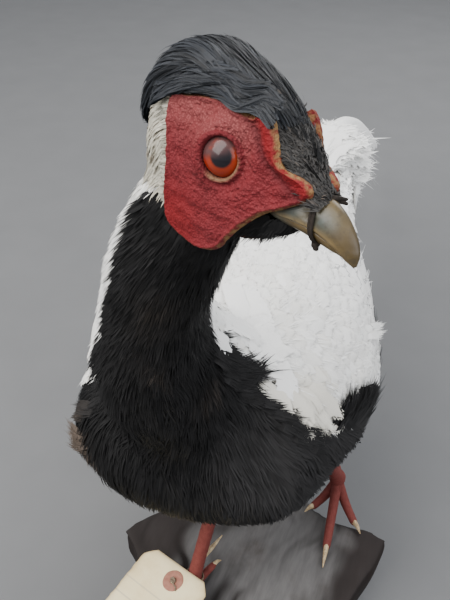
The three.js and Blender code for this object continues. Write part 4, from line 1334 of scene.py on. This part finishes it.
def chin(black):
    """The black feathers between the cheeks, from the corner of the bill to the throat."""
    count = 420
    middle = [(23, 0, -12.6), (16, 0, -15.5), (8, 0, -18.5), (0, 0, -21), (-6, 0, -24)]
    way = rng.random(count)
    u = rng.uniform(-1, 1, count)
    roots = curve(middle, way)
    roots[:, 1] = u * np.interp(way, [0, 0.3, 1], [4.5, 7.0, 7.5])
    roots[:, 2] += 2.6 * u ** 2 + rng.uniform(-0.5, 1.5, count)
    reach = np.interp(way, [0, 0.3, 1], [6, 9, 12]) * rng.uniform(0.75, 1.15, count)
    lie = np.stack([rng.normal(-0.4, 0.2, count), 0.08 * u + rng.normal(0, 0.1, count), np.full(count, -0.85)], 1)
    t = HAIR[:, 0]
    path = roots[:, None] + unit(lie)[:, None] * (reach[:, None] * t)[..., None]
    path = path - np.array([0.25, 0, 0.0]) * (reach[:, None] * t ** 2)[..., None]
    ups = np.repeat(unit(np.stack([np.full(count, 0.55), u, np.full(count, -0.25)], 1))[:, None], len(t), 1)
    patch = np.stack([0.5 + roots[:, 0] / 100, 0.5 + u * 0.3], 1)
    piece = feathers("chin_feathers", from_head(path), ups @ HEAD_AXES, rng.uniform(2.6, 4.2, count),
                     rng.uniform(0.2, 1.2, count), [tuft(7, 0.3, 0.12, s) for s in range(4)], patch,
                     {"tone": rng.uniform(0, 0.3, count), "rust": np.zeros(count)}, roll=rng.normal(0, 0.3, count))
    finished(piece, black, "black_feathers", "head")


# The forehead's half width and height along the head's x.
FOREHEAD_WIDE = ((5, 9, 11, 15, 20, 25, 30, 34), (6.5, 7.0, 8.0, 8.8, 8.4, 7.8, 7.0, 6.0))
FOREHEAD_HIGH = ((5, 9, 13, 20, 26, 32, 34), (22, 20.3, 17.4, 11.8, 5.2, 0.6, -0.6))


def bristles():
    """Rows of hairs over the forehead, from one fold of the face to the other, and over the root of the bill."""
    rows = []
    for _ in range(6000):
        x = rng.uniform(5, 33)
        y = rng.uniform(-1, 1) * np.interp(x, *FOREHEAD_WIDE)
        z = np.interp(x, *FOREHEAD_HIGH) - 0.055 * y * y - 0.4
        reach = rng.uniform(2.0, 3.8) + 1.2 * smooth(16, 6, x)
        lie = unit([-0.85 + rng.normal(0, 0.3), rng.normal(0, 0.35) + y * 0.03, 0.34 + rng.normal(0, 0.2)])
        path = np.array([x, y, z]) + lie * reach * HAIR - np.array([0.6, 0, 0.35]) * reach * HAIR ** 2
        rows.append((path, (0.5, 0.08 * y, 0.85), rng.uniform(0.3, 0.6), rng.beta(1.2, 1.4),
                     0.2 * (rng.random() < 0.08)))
    for _ in range(160):
        y = rng.uniform(-5.5, 5.5)
        reach = rng.uniform(1.8, 3.4)
        lie = unit([0.8, rng.normal(0, 0.4), 0.15 + rng.normal(0, 0.3)])
        path = np.array([rng.uniform(27.5, 30), y, 0.6 - 0.07 * y * y]) + lie * reach * HAIR
        rows.append((path, (0.2, 0.1 * y, 0.8), rng.uniform(0.35, 0.6), rng.uniform(0, 0.5),
                     0.5 * (rng.random() < 0.3)))
    return rows


def face_fringe():
    """Rows of pale hairs round the back of the bare face's edge."""
    rows = []
    t = HAIR[:, 0]
    along = np.linspace(0, 1, 900, endpoint=False)
    edge, ahead = (curve(FACE_EDGE, along + step, closed=True) for step in (0, 0.002))
    for side in SIDES.values():
        for (x, z), (ax, az) in zip(edge, ahead):
            outward = unit([az - z, x - ax])
            if np.dot(outward, (x + 0.3, z - 0.8)) < 0:
                outward = -outward
            if not (x < -20 and z > -24):
                continue
            for _ in range(3):
                reach = rng.uniform(2.5, 5)
                lie = unit([outward[0] * 0.8 - 0.5, outward[1] * 0.8 - 0.35])
                inset = rng.uniform(-0.8, 0.8)
                px = x + outward[0] * inset + lie[0] * reach * t
                pz = z + outward[1] * inset + lie[1] * reach * t
                base = cheek_out(np.array([x]), np.array([z]))[0] - 1.0
                py = side * np.maximum(base - 1.2 * t ** 1.3 + rng.normal(0, 0.3), 0.3)
                rows.append((np.stack([px, py, pz], 1), (0, side, 0), rng.uniform(0.5, 1.0),
                             rng.uniform(0.3, 0.8), 0.25 * rng.random()))
    return rows


def ear(skin, tree):
    """Rows of fine pale hairs behind the face, pointing down and back, with a dark one here and there."""
    points, triangles, normals = skin
    head_x, _, head_z = to_head(points[triangles].mean(1)).T
    behind = (head_x < -22) & (head_x > -50) & (head_z > -19) & (head_z < 12)
    roots, ups = scatter(points, triangles[behind], normals, lambda p: np.full(len(p), 1.05))
    free = ~in_face(roots, 1.0)
    roots, ups = roots[free], ups[free]
    count = len(roots)
    steep = smooth(14, -18, to_head(roots)[:, 2])[:, None]
    lie = blend((-0.75, 0, -0.65), (-0.45, 0, -0.9), steep) @ HEAD_AXES
    lie = turned(unit(lie), ups, rng.normal(0, 0.12, count))
    shafts, tops = settled(tree, roots, ups, lie, rng.uniform(8, 12, count))
    heights = np.array([0.2, 1.0, 1.5, 1.7, 1.6])[None, :, None] + rng.uniform(0, 0.5, (count, 1, 1))
    rows = []
    for path, way in zip(to_head(shafts + tops * heights), tops[:, 0] @ HEAD_AXES.T):
        dark = rng.random() < 0.13
        rows.append((path, way, rng.uniform(0.25, 0.4) if dark else rng.uniform(0.7, 1.2),
                     0.0 if dark else rng.uniform(0.45, 1.0), 0.75 * dark))
    return rows


def head_feathers(skin, tree, black):
    """The forehead's bristles, the chin's black feathers and the pale hairs of the ear."""
    dark_rows, pale_rows = bristles(), face_fringe() + ear(skin, tree)
    dark = feather_paint("bristle_paint", (0.003, 0.0029, 0.0029), (0.06, 0.054, 0.049), relief=0.3,
                         Roughness=0.65)
    pale = feather_paint("ear_paint", (0.3, 0.27, 0.19), (0.66, 0.63, 0.54), relief=0.3, Roughness=0.7)
    strands("bristles", dark_rows, dark, "black_feathers")
    chin(black)
    strands("ear_feathers", pale_rows, pale, "white_feathers")


# ---------------- tail and wing quills

TAIL = [  # x, y, height of the ridge, half the roof's width and the depth of its side
    (-44, 224, 256, 22, 58), (-45, 262, 262, 33, 90), (-47, 310, 259, 34, 102), (-50, 371, 247, 29, 90),
    (-54, 450, 216, 22, 64), (-58, 520, 182, 17, 46), (-62, 600, 140, 12, 30), (-65, 680, 94, 7, 16),
    (-66, 716, 72, 2.5, 5),
]
TAIL_MIDDLE = -46  # the x about which the plumes of the two sides mirror each other
# Loose white coverts over the root of the tail: root, middle and tip for the bird's left, width and how far
# round its shaft each is turned.
PLUMES = [
    ((-44, 232, 248), (-26, 262, 268), (-12, 286, 265), 13, 25),
    ((-42, 236, 246), (-24, 266, 262), (-6, 290, 256), 12, 30),
    ((-42, 238, 240), (-24, 268, 248), (-4, 292, 240), 13, 45),
    ((-42, 236, 234), (-24, 264, 236), (-8, 286, 228), 12, 55),
    ((-44, 236, 254), (-34, 268, 272), (-24, 292, 270), 14, 15),
    ((-45, 236, 256), (-39, 270, 274), (-35, 296, 271), 14, 5),
    ((-42, 240, 250), (-30, 275, 262), (-16, 302, 256), 12, 20),
    ((-45, 240, 257), (-45, 274, 274), (-46, 300, 264), 13, 0),
    ((-42, 240, 226), (-28, 272, 218), (-16, 298, 206), 12, 60),
    ((-42, 244, 244), (-32, 284, 250), (-24, 318, 240), 12, 40),
]


def tail_place(along, off_ridge, side, under):
    """A point of the tail's roof: along it from 0 to 1, off its ridge in millimetres and that far under it."""
    row = curve(TAIL, along)
    wide, deep = row[..., 3], row[..., 4]
    arc = np.sqrt((wide ** 2 + deep ** 2) / 2) * np.pi / 2
    turn = np.clip(off_ridge / arc, -0.3, 1.15) * np.pi / 2
    x = np.maximum(wide - under, 0.2) * np.sin(turn)
    z = row[..., 2] - under - (deep - under) * (1 - np.cos(turn))
    return np.stack([row[..., 0] + side * (x + 0.2), row[..., 1], z], -1), arc


def quill(place, wide, rows, columns, loose):
    """A long feather as points, triangles and UVs. place(v, across) gives its points.

    loose is how deeply its end parts into separate barbs.
    """
    pick = np.random.default_rng(int(rng.integers(1e6)))
    v = np.linspace(0, 1, rows)
    u = np.linspace(-1, 1, columns)
    rag = np.zeros((rows, columns))
    for column in (0, -1):
        rag[:, column] = pick.normal(0, 0.07 + 0.1 * loose, rows)
    half = wide * np.where(v > 0.86, np.sqrt(np.clip(1 - ((v - 0.86) / 0.145) ** 2, 0.02, 1)),
                           smooth(0, 0.16, v) * 0.75 + 0.25)
    across = u[None] * (1 + rag) * half[:, None]
    points = place(np.clip(v[:, None] - 0.02 * np.abs(u)[None], 0, 1), across).reshape(-1, 3)
    uv = np.stack(np.broadcast_arrays(u[None] * 0.5 + 0.5, v[:, None]), -1).reshape(-1, 2)
    # Barb tips that stand out of both margins and, on loose feathers, of the end.
    barbs, barbs_uv = [], []
    for edge, column in ((-1, 0), (1, columns - 1)):
        for r in range(4, rows - 2):
            a = r * columns + column
            out, ahead = points[a] - points[a - edge], points[a + columns] - points[a]
            for part in (0.0, 0.5):
                root = blend(points[a], points[a + columns], part)
                reach = pick.uniform(0.12, 0.5) * (1 + 2.2 * loose)
                barbs += [root - out * 0.2, root + ahead * 0.42 - out * 0.2,
                          root + out * reach + ahead * (0.9 + reach) * (1 + loose)]
                barbs_uv += [uv[a]] * 3
    for _ in range(int(60 * loose)):
        r, c = pick.integers(int(rows * 0.6), rows - 2), pick.integers(0, columns - 1)
        a = r * columns + c
        side, ahead = points[a + 1] - points[a], points[a + columns] - points[a]
        reach = pick.uniform(2, 5)
        barbs += [points[a], points[a] + side * 0.5,
                  points[a] + ahead * reach + side * pick.normal(0.25, 0.9)
                  + np.cross(side, ahead) / np.linalg.norm(side) * pick.normal(0.3, 0.8)]
        barbs_uv += [uv[a]] * 3
    barb_faces = np.arange(len(barbs)).reshape(-1, 3) + len(points)
    return np.vstack([points, barbs]), np.vstack([web_faces(rows, columns), barb_faces]), np.vstack([uv, barbs_uv])


def quill_piece(name, quills, paint, *nodes):
    """One piece of long feathers, from (quill, how much it is lined, tone) rows."""
    forms, lined, bright = zip(*quills)
    sizes = [len(points) for points, _, _ in forms]
    owner = np.repeat(np.arange(len(forms)), sizes)
    points, vanes = (np.vstack([form[k] for form in forms]) for k in (0, 2))
    faces = np.vstack([faces + start for (_, faces, _), start in zip(forms, np.cumsum([0, *sizes]))])
    cells = math.ceil(math.sqrt(len(forms)))
    bakes = (vanes * 0.94 + 0.03 + np.stack([owner % cells, owner // cells], 1)) / cells
    zero = np.zeros(len(owner))
    numbers = {"ink": np.array(lined)[owner], "tone": np.array(bright)[owner], "rust": zero, "cream": zero}
    finished(mesh_object(name, points, faces, numbers, {"OFBake": bakes, "vane": vanes}), paint, "white_feathers",
             *nodes)


def tail_quills(side):
    """The long feathers of one side of the tail's roof, from its ridge down."""
    quills = []
    span = np.linspace(0, 1, 200)
    arc = tail_place(span, np.zeros(200), side, 0)[1]
    for k in range(9):
        centre, half, under = 6 + 13.5 * k, 17 - 0.6 * k, 0.5 + 0.5 * k
        fits = np.where(arc > centre + 4)[0]
        first, last = span[fits[0]], min(span[fits[-1]] + 0.01 * (k % 2), 0.995)
        weave = rng.normal(0, 1.2)

        def place(v, across):
            off = centre + weave * np.sin(v * 5) - 5 * v ** 3 + across
            return tail_place(first + (last - first) * v, off, side,
                              under + 0.02 * np.abs(across) - 0.25 * np.cos(across * 0.09))[0]

        quills.append((quill(place, half, rows=84, columns=9, loose=0.25), 0.05 + 0.1 * k,
                       rng.uniform(0.45, 0.95)))
    return quills


def tail_plumes(side):
    """The loose coverts over the root of the tail on one side, each with another under it."""
    quills = []
    stations = 13
    for root, bend, tip, half, turn in PLUMES:
        for echo in range(2):
            path = np.array([root, bend, tip], float) + rng.normal(0, 1.5, (3, 3)) * [[0.3], [1], [1.6]]
            path[:, 0] = TAIL_MIDDLE + side * (path[:, 0] - TAIL_MIDDLE)
            path[1:, 2] -= 7 * (side < 0)
            shaft = curve(path - np.array([0, 0, 3.0 * echo]), np.linspace(0, 1, stations))
            lean = math.radians(turn + rng.normal(0, 6))
            up = np.array([side * math.sin(lean), 0.1, math.cos(lean)])
            quills.append((quill(laid(shaft, np.tile(up, (stations, 1)), 0.0), half * rng.uniform(0.55, 0.75),
                                 rows=26, columns=7, loose=1.0), 0.0, rng.uniform(0.5, 1.0)))
    return quills


def tail(paint):
    for name, side in SIDES.items():
        quill_piece(f"tail_feathers_{name}", tail_quills(side), paint, f"tail_{name}")
        quill_piece(f"tail_plumes_{name}", tail_plumes(side), paint, f"tail_{name}", "tail_coverts")


def laid(shaft, ups, stack):
    """The surface of a feather whose shaft is given: a shallow dome across it, raised by stack."""
    aside = unit(np.cross(unit(np.gradient(shaft, axis=0)), ups))

    def place(v, across):
        at, lift, turn = (curve(values, v) for values in (shaft, ups, aside))
        dome = stack * smooth(0, 0.15, v) + 0.6 * v - 0.012 * across ** 2
        return at + unit(turn) * across[..., None] + unit(lift) * dome[..., None]
    return place


WINGS_MIDDLE = -30  # the x from which the rows' places are measured outwards
WING_ROWS = [  # name, count, first root and last root (outwards, y, z), length, half width, height over the skin
    ("primaries", 7, (62, 70, 206), (44, 150, 216), 112, 10, 1.6),
    ("secondaries", 9, (66, 10, 214), (50, 120, 224), 100, 12, 2.3),
    ("tertials", 5, (56, 5, 238), (34, 95, 248), 96, 13, 3.0),
]


def wings(tree, paint):
    """The folded quills of each wing, in rows."""
    for name, side in SIDES.items():
        quills = []
        for row, count, first, last, length, half, height in WING_ROWS:
            for k in range(count):
                out, y, z = blend(first, last, k / (count - 1))
                swing = -15 * smooth(60, 240, y)
                spot, up = nearest(tree, [(WINGS_MIDDLE + side * out + swing, y, z)])
                lie = np.array([[-side * 0.16 - 0.07, 1.0, 0.02 + 0.05 * (row == "primaries")]])
                reach = min(length * rng.uniform(0.94, 1.06), 266 - y)
                shafts, ups = settled(tree, spot, up, lie, np.array([reach]), steps=10)
                stack = height * (0.75 + 0.05 * k / count) + 0.5 * (k % 2)
                quills.append((quill(laid(shafts[0], ups[0], stack), half, rows=44, columns=7, loose=0.15), 0.75,
                               rng.uniform(0.4, 0.9)))
        quill_piece(f"wing_quills_{name}", quills, paint, f"wing_{name}")


# ---------------- bill thread, wood and label

TAG = {"at": (-39.4, -63.5, 86.2), "turn": -17, "across": 5, "dip": 11.5, "width": 57, "length": 104,
       "thick": 0.5, "corner": 7, "hole": (2, -11), "lines": 9}
# The paper ring's profile round the hole: radius and height over the card. Its outer edge is a little uneven.
RING = [(2.0, -0.3), (1.9, 0.35), (2.3, 0.62), (4.5, 0.55), (6.9, 0.5), (7.4, 0.3), (7.4, -0.3)]
# The string round the right leg: its height over the foot and the radius of its loops.
TIE = {"height": 9.5, "loop": 6.3}
# The thread round the bill, in the head's axes: each winding's radius, place along the bill and lean, and the
# knots' middles with the lines of their strands.
WINDINGS = ((0.5, -0.2, -1.9), (0.5, 0.55, -1.8), (0.42, 0.2, -1.6))
KNOTS = (
    ((32.8, -2.8, -13.2), [((-1.0, 0, 0.5), (0.4, -0.6, -0.3), (1.1, 0.5, 0.4)),
                           ((0, 0.8, 0.8), (0.3, -0.8, 0), (-0.4, 0.3, -0.9)),
                           ((0.4, 0, -0.3), (0.9, -0.4, -0.9), (1.6, -0.4, -1.2))]),
    ((30.8, 0.6, -0.9), [((-1.6, -3.6, -1.2), (0.4, -0.8, 0.6), (1.2, 3.2, 0.2)),
                         ((0.8, -3.2, -1.4), (-0.6, -0.4, 0.9), (1.4, 4.0, -0.2)),
                         ((0.2, -2.2, 0.0), (1.2, 0.8, 1.0), (1.8, 6.0, 0.2)),
                         ((-1.2, -1.4, 0.4), (0.8, 1.6, 0.4), (2.6, 5.6, -0.8)),
                         ((-0.4, -4.4, -2.0), (1.2, -1.4, -0.2), (1.8, 2.2, -0.6))]),
)


def thread_paint(name, dark, light):
    paint = Paint(name, Roughness=0.8, Specular_IOR_Level=0.2)
    fibres = paint.noise(1500, 3)
    return paint.coat(paint.mix(fibres, dark, light), fibres, 0.15, 0.6)


def twist(turns):
    """The shape of a thread of three strands, with that many turns along it."""
    return lambda t, angle: 1 + 0.14 * np.cos(3 * (angle + 2 * np.pi * turns * t / 3))


def bill_thread():
    """Windings side by side round the bill, leaning back at the top, one that crosses them, and two knots."""
    parts = []
    leaning = (0.3, 0.2, 1)
    turn = np.linspace(0, 2 * np.pi, 33)
    wide, top, low = 6.2, 7.6, 5.0
    for radius, shift, lean in WINDINGS:
        y = wide * np.sign(np.cos(turn)) * np.abs(np.cos(turn)) ** 0.8
        z = np.where(np.sin(turn) > 0, top, low) * np.sin(turn)
        x = 31.6 + shift + lean * z / 7 + 0.15 * np.sin(turn * 2 + shift * 4)
        parts.append(swept(from_head(np.stack([x, y, z - 8.0], 1)), [radius] * 4, steps=130, sides=9,
                           up=leaning, shape=twist(40)))
    parts += [swept(from_head(np.add(knot, line)), [0.5, 0.95, 0.5], steps=20, sides=8, up=leaning)
              for knot, lines in KNOTS for line in lines]
    paint = thread_paint("dark_thread_paint", (0.006, 0.005, 0.0045), (0.035, 0.026, 0.02))
    finished(mesh_object("thread_windings", *stacked(parts)), paint, "thread", "bill_thread")


def wood():
    """The weathered driftwood, whose grain runs back over the top and turns down the sides in uneven ridges, with
    painted shade in its hollows and on its sides.
    """
    points, triangles, normals = remeshed(*node_mesh("base"), *WOOD_MESH)
    x, y, z = points.T
    feet = [leg["ball"] for leg in LEGS.values()] + [tip for toes in TOES.values() for tip, _ in toes.values()]
    near_foot = np.min([np.hypot(x - fx, y - fy) for fx, fy, _ in feet], axis=0)
    free = 0.2 + 0.8 * smooth(8, 30, near_foot)
    top = smooth(50, 60, z) * smooth(0.3, 0.8, normals[:, 2])
    warp = np.stack([grain(points, 48, seed) for seed in (11, 12, 13)], 1) * 26
    along = (points + warp) * [1.0, 0.22, 0.3]
    groove, fine, lumps = grain(along, 13, 1), grain(along, 8, 2), grain(points, 36, 3)
    crack = 0.7 * np.exp(-(grain(along, 30, 6) / 0.1) ** 2) * smooth(0.05, 0.4, grain(points, 40, 7))
    depth = (0.6 * (groove - 0.35) + 0.2 * fine + 3.2 * (lumps - 0.4)) * (0.35 + 0.65 * free) - 1.6 * crack * free
    depth = np.minimum(depth, 0.4) * (0.35 + (1 - top)) * smooth(0.2, 7, z)
    depth = np.where(top > 0.5, np.maximum(depth, -2.4), depth)
    moved = points + normals * depth[:, None]
    moved[:, 2] = np.clip(moved[:, 2], 0, WOOD_TOP + 0.4)
    moved[z < 0.6, 2] = 0
    uneven = x + 8 * grain(points, 20, 8)
    # Both ends are a darker brown; the sides away from the top are darkened too, which is painted shade.
    brown_ends_and_side_shade = smooth(52, 66, uneven) + 0.95 * smooth(-46, -62, uneven) + 0.5 * (1 - top)
    piece = mesh_object("driftwood", moved, triangles, {
        "hollow_shade": np.clip(0.5 - 0.35 * depth - 0.4 * fine, 0, 1), "crack": crack, "top": top,
        "brown_ends_and_side_shade": np.clip(brown_ends_and_side_shade, 0, 1)})
    paint = Paint("driftwood_paint", Roughness=0.8, Specular_IOR_Level=0.22)
    fibres = paint.noise(60, 8, 0.65, stretch=(5, 0.8, 1.2))
    streaks = paint.between(0.25, 0.75, fibres)
    weathered = paint.mix(streaks, (0.094, 0.09, 0.089), (0.128, 0.123, 0.121))
    # Painted shade darkens the hollows; the cracks are darkened too.
    hollow_shade = paint.times(paint.between(0.5, 1.0, paint.number("hollow_shade")), 0.5)
    colour = paint.layered(
        paint.mix(streaks, (0.03, 0.022, 0.018), (0.062, 0.046, 0.038)),
        (paint.number("top"), paint.between(0.1, 0.45, paint.noise(22, 5, 0.55)), weathered),
        (paint.number("brown_ends_and_side_shade"), 0.9, (0.014, 0.009, 0.008)))
    colour = paint.mix(paint.plus(hollow_shade, paint.number("crack"), clamp=True), colour, (0.012, 0.009, 0.008))
    paint.coat(colour, fibres, 0.35, 0.5)
    finished(piece, paint, "weathered_wood", "base")


def tag_turn():
    """The label's axes: x across it, y to its holed end, z out of its upper face."""
    turns = (("Z", TAG["turn"]), ("Y", -TAG["across"]), ("X", TAG["dip"]))
    about_z, about_y, about_x = (Matrix.Rotation(math.radians(degrees), 3, axis) for axis, degrees in turns)
    return np.array(about_z @ about_y @ about_x)


def from_tag(p):
    return np.asarray(p, float) @ tag_turn().T + np.array(TAG["at"], float)


def label_card():
    """The old card, with its corners cut, its edges worn, a slight curl, and faint ruled lines."""
    wide, long, corner = TAG["width"] / 2, TAG["length"], TAG["corner"]
    rows, columns = 70, 40
    v = np.linspace(0, 1, rows)[:, None]
    u = np.linspace(-1, 1, columns)[None]
    half = wide - corner * np.clip(1 - long * v / corner, 0, 1) - 1.5 * np.clip(1 - (long - long * v) / 1.5, 0, 1)
    x = u * half
    y = np.broadcast_to(-long * v, x.shape)

    def uneven(scale, seed):
        return grain(np.stack([x, y, 0 * x], -1).reshape(-1, 3), scale, seed).reshape(x.shape)

    edge = np.maximum(np.abs(u) ** 12, (np.abs(v - 0.5) * 2) ** 20)
    x = x + uneven(3, 2) * 0.5 * edge * np.sign(u)
    curl = 1.3 * (x / wide) ** 2 + 1.1 * np.sin(v * 3.0) * 0.6 - 0.9 * v ** 2 + 0.25 * uneven(12, 5)
    curl = curl * smooth(6, 22, np.hypot(x - TAG["hole"][0], y - TAG["hole"][1]))  # flat under its ring
    over, beneath = (np.stack([x, y, curl + side * TAG["thick"] / 2], -1).reshape(-1, 3) for side in (1, -1))
    count = len(over)
    faces = grid_faces(rows, columns, closed=False)
    grid = np.arange(count).reshape(rows, columns)
    rim = np.concatenate([grid[0], grid[1:, -1], grid[-1, -2::-1], grid[-2:0:-1, 0]])
    loop = np.roll(rim, -1)
    faces = np.vstack([faces[:, ::-1], faces + count, np.stack([rim, loop, loop + count, rim + count], 1)])
    sheet = np.stack(np.broadcast_arrays(u * 0.5 + 0.5, v), -1).reshape(-1, 2)
    piece = mesh_object("label_card", from_tag(np.vstack([over, beneath])), faces,
                        {"edge": np.tile(edge.ravel(), 2)}, {"sheet": np.vstack([sheet, sheet])})
    paint = Paint("card_paint", Roughness=0.85, Specular_IOR_Level=0.2)
    place = paint.add("ShaderNodeUVMap", {}, uv_map="sheet")
    v_out = paint.add("ShaderNodeSeparateXYZ", {"Vector": place}, "Y")
    lines = paint.between(0.93, 0.99, paint.math("SINE", paint.times(v_out, 2 * math.pi * TAG["lines"])))
    ruled = paint.times(lines, paint.between(0.22, 0.26, v_out))
    colour = paint.layered(
        paint.mix(paint.between(0.3, 0.75, paint.noise(45, 5)), (0.87, 0.76, 0.47), (0.68, 0.54, 0.29)),
        (ruled, 0.35, (0.25, 0.22, 0.25)), (paint.number("edge"), 0.6, (0.36, 0.25, 0.13)))
    paint.coat(colour, paint.noise(900, 3), 0.08, 0.5)
    finished(piece, paint, "card", "tag")


def label_ring():
    """The reddish paper ring round the card's hole."""
    around = 48
    turn = np.linspace(0, 2 * np.pi, around, endpoint=False)
    rings = [np.stack([TAG["hole"][0] + (r + 0.12 * np.sin(turn * 5) * (r > 7)) * np.cos(turn),
                       TAG["hole"][1] + r * np.sin(turn), np.full(around, height)], 1) for r, height in RING]
    first, last = np.arange(around), np.arange(around) + around * (len(RING) - 1)
    underside = np.stack([np.roll(last, -1), last, first, np.roll(first, -1)], 1)
    faces = np.vstack([grid_faces(len(RING), around), underside])
    piece = mesh_object("label_ring", from_tag(np.vstack(rings)), faces[:, ::-1])
    paint = Paint("ring_paint", Roughness=0.8)
    mottle = paint.noise(420, 4)
    paint.coat(paint.mix(mottle, (0.23, 0.075, 0.05), (0.42, 0.2, 0.14)), mottle, 0.1, 0.5)
    finished(piece, paint, "card_patch", "tag_patch")


def label_string():
    """Two loops round the right leg, the string from them through the hole, its knot and its loose end."""
    ball, hock = (np.array(LEGS["right"][k], float) for k in ("ball", "hock"))
    up = unit(hock - ball)
    middle = ball + up * TIE["height"]
    first = unit(np.cross(up, (0.0, 1.0, 0.0)))
    second = np.cross(up, first)
    turn = np.linspace(0, 2 * np.pi, 17)
    circle = first * (TIE["loop"] * np.cos(turn))[:, None] + second * (TIE["loop"] * np.sin(turn))[:, None]
    parts = [swept(middle + up * shift + circle, [0.6] * 4, steps=90, sides=9, up=up, shape=twist(30))
             for shift in (-0.5, 0.7)]

    def through(z, dx=0.0, dy=0.0):
        return from_tag([TAG["hole"][0] + dx, TAG["hole"][1] + dy, z])

    under = through(-4)
    out = square(under - middle, up) * TIE["loop"]
    knot = [through(*place) for place in ((1.2, -1.6), (2.6, 0, 1.2), (1.4, 1.7), (2.4, 0.4, -1.3), (1.0, -1.2))]
    loose_end = [through(*place) for place in ((1.5,), (1.6, 2.5, -2), (1.1, 4.6, -2.6), (1.0, 6.2, -4.6))]
    lead = [through(2.2), through(0), under, middle + out]
    parts += [swept(lead, [0.65] * 4, steps=50, sides=9, shape=twist(10)),
              swept(knot, [0.8] * 5, steps=40, sides=9, shape=twist(8)),
              swept(loose_end, [0.5] * 4, steps=30, sides=8, shape=twist(8))]
    paint = thread_paint("string_paint", (0.09, 0.06, 0.04), (0.26, 0.2, 0.14))
    finished(mesh_object("label_string", *stacked(parts)), paint, "string", "tag_tie")


# ---------------- the whole bird


SKIN_NUMBERS = ("bare", "lid", "rim", "fold", "lobe", "leg", "dusty", "pale")
SKIN_NODES = ("trunk", "neck", "head", "face_left", "face_right", "thigh_left", "thigh_right", "wing_left",
              "wing_right", "tail_coverts", *(f"tarsus_{side}" for side in SIDES),
              *(f"toe_{side}_{toe}" for side in SIDES for toe in TOES[side]))


def skin_piece(body):
    """The one skin: body, bare cheeks with their lids, and bare legs with their toes. The claws are apart."""
    points, triangles, _ = body
    pale = whiteness(points, owners(points, PLUMAGE_NODES))
    parts, numbers, claws = [(points, triangles)], [{"pale": pale}], {}
    for side in SIDES.values():
        p, f, n = cheek(side)
        parts.append((p, f))
        numbers.append({"bare": 1, **dict(zip(("lid", "rim", "fold", "lobe", "dusty"), n.T))})
    for name in SIDES:
        skins, horns = foot(name)
        claws.update(horns)
        parts += skins
        numbers += [{"leg": 1}] * len(skins)
    columns = {key: np.concatenate([np.broadcast_to(given.get(key, 0), len(p)).astype(float)
                                    for (p, _), given in zip(parts, numbers)]) for key in SKIN_NUMBERS}
    finished(mesh_object("skin", *stacked(parts), columns), skin_paint(), "bare_face", *SKIN_NODES)
    paint = claw_paint()
    for name, (p, f) in claws.items():
        finished(mesh_object(name + "_horn", p, f), paint, "claw_horn", name)


setting()
body = body_skin()
skin_piece(body)
for name, side in SIDES.items():
    eye(name, side)
bill()
bill_thread()
tree = surface_tree(*body[:2])
black = black_paint()
white = feather_paint("white_feather_paint", (0.78, 0.77, 0.745), (0.95, 0.945, 0.925), line=0.8, relief=0.25,
                      Roughness=0.65, Specular_IOR_Level=0.25)
soft_plumage(body, tree, black, white)
firm_plumage(body, tree, white)
accents(tree, {"black_feathers": black, "white_feathers": white})
scapulars(tree, white)
crest()
head_feathers(body, tree, black)
tail(white)
wings(tree, white)
wood()
label_card()
label_ring()
label_string()
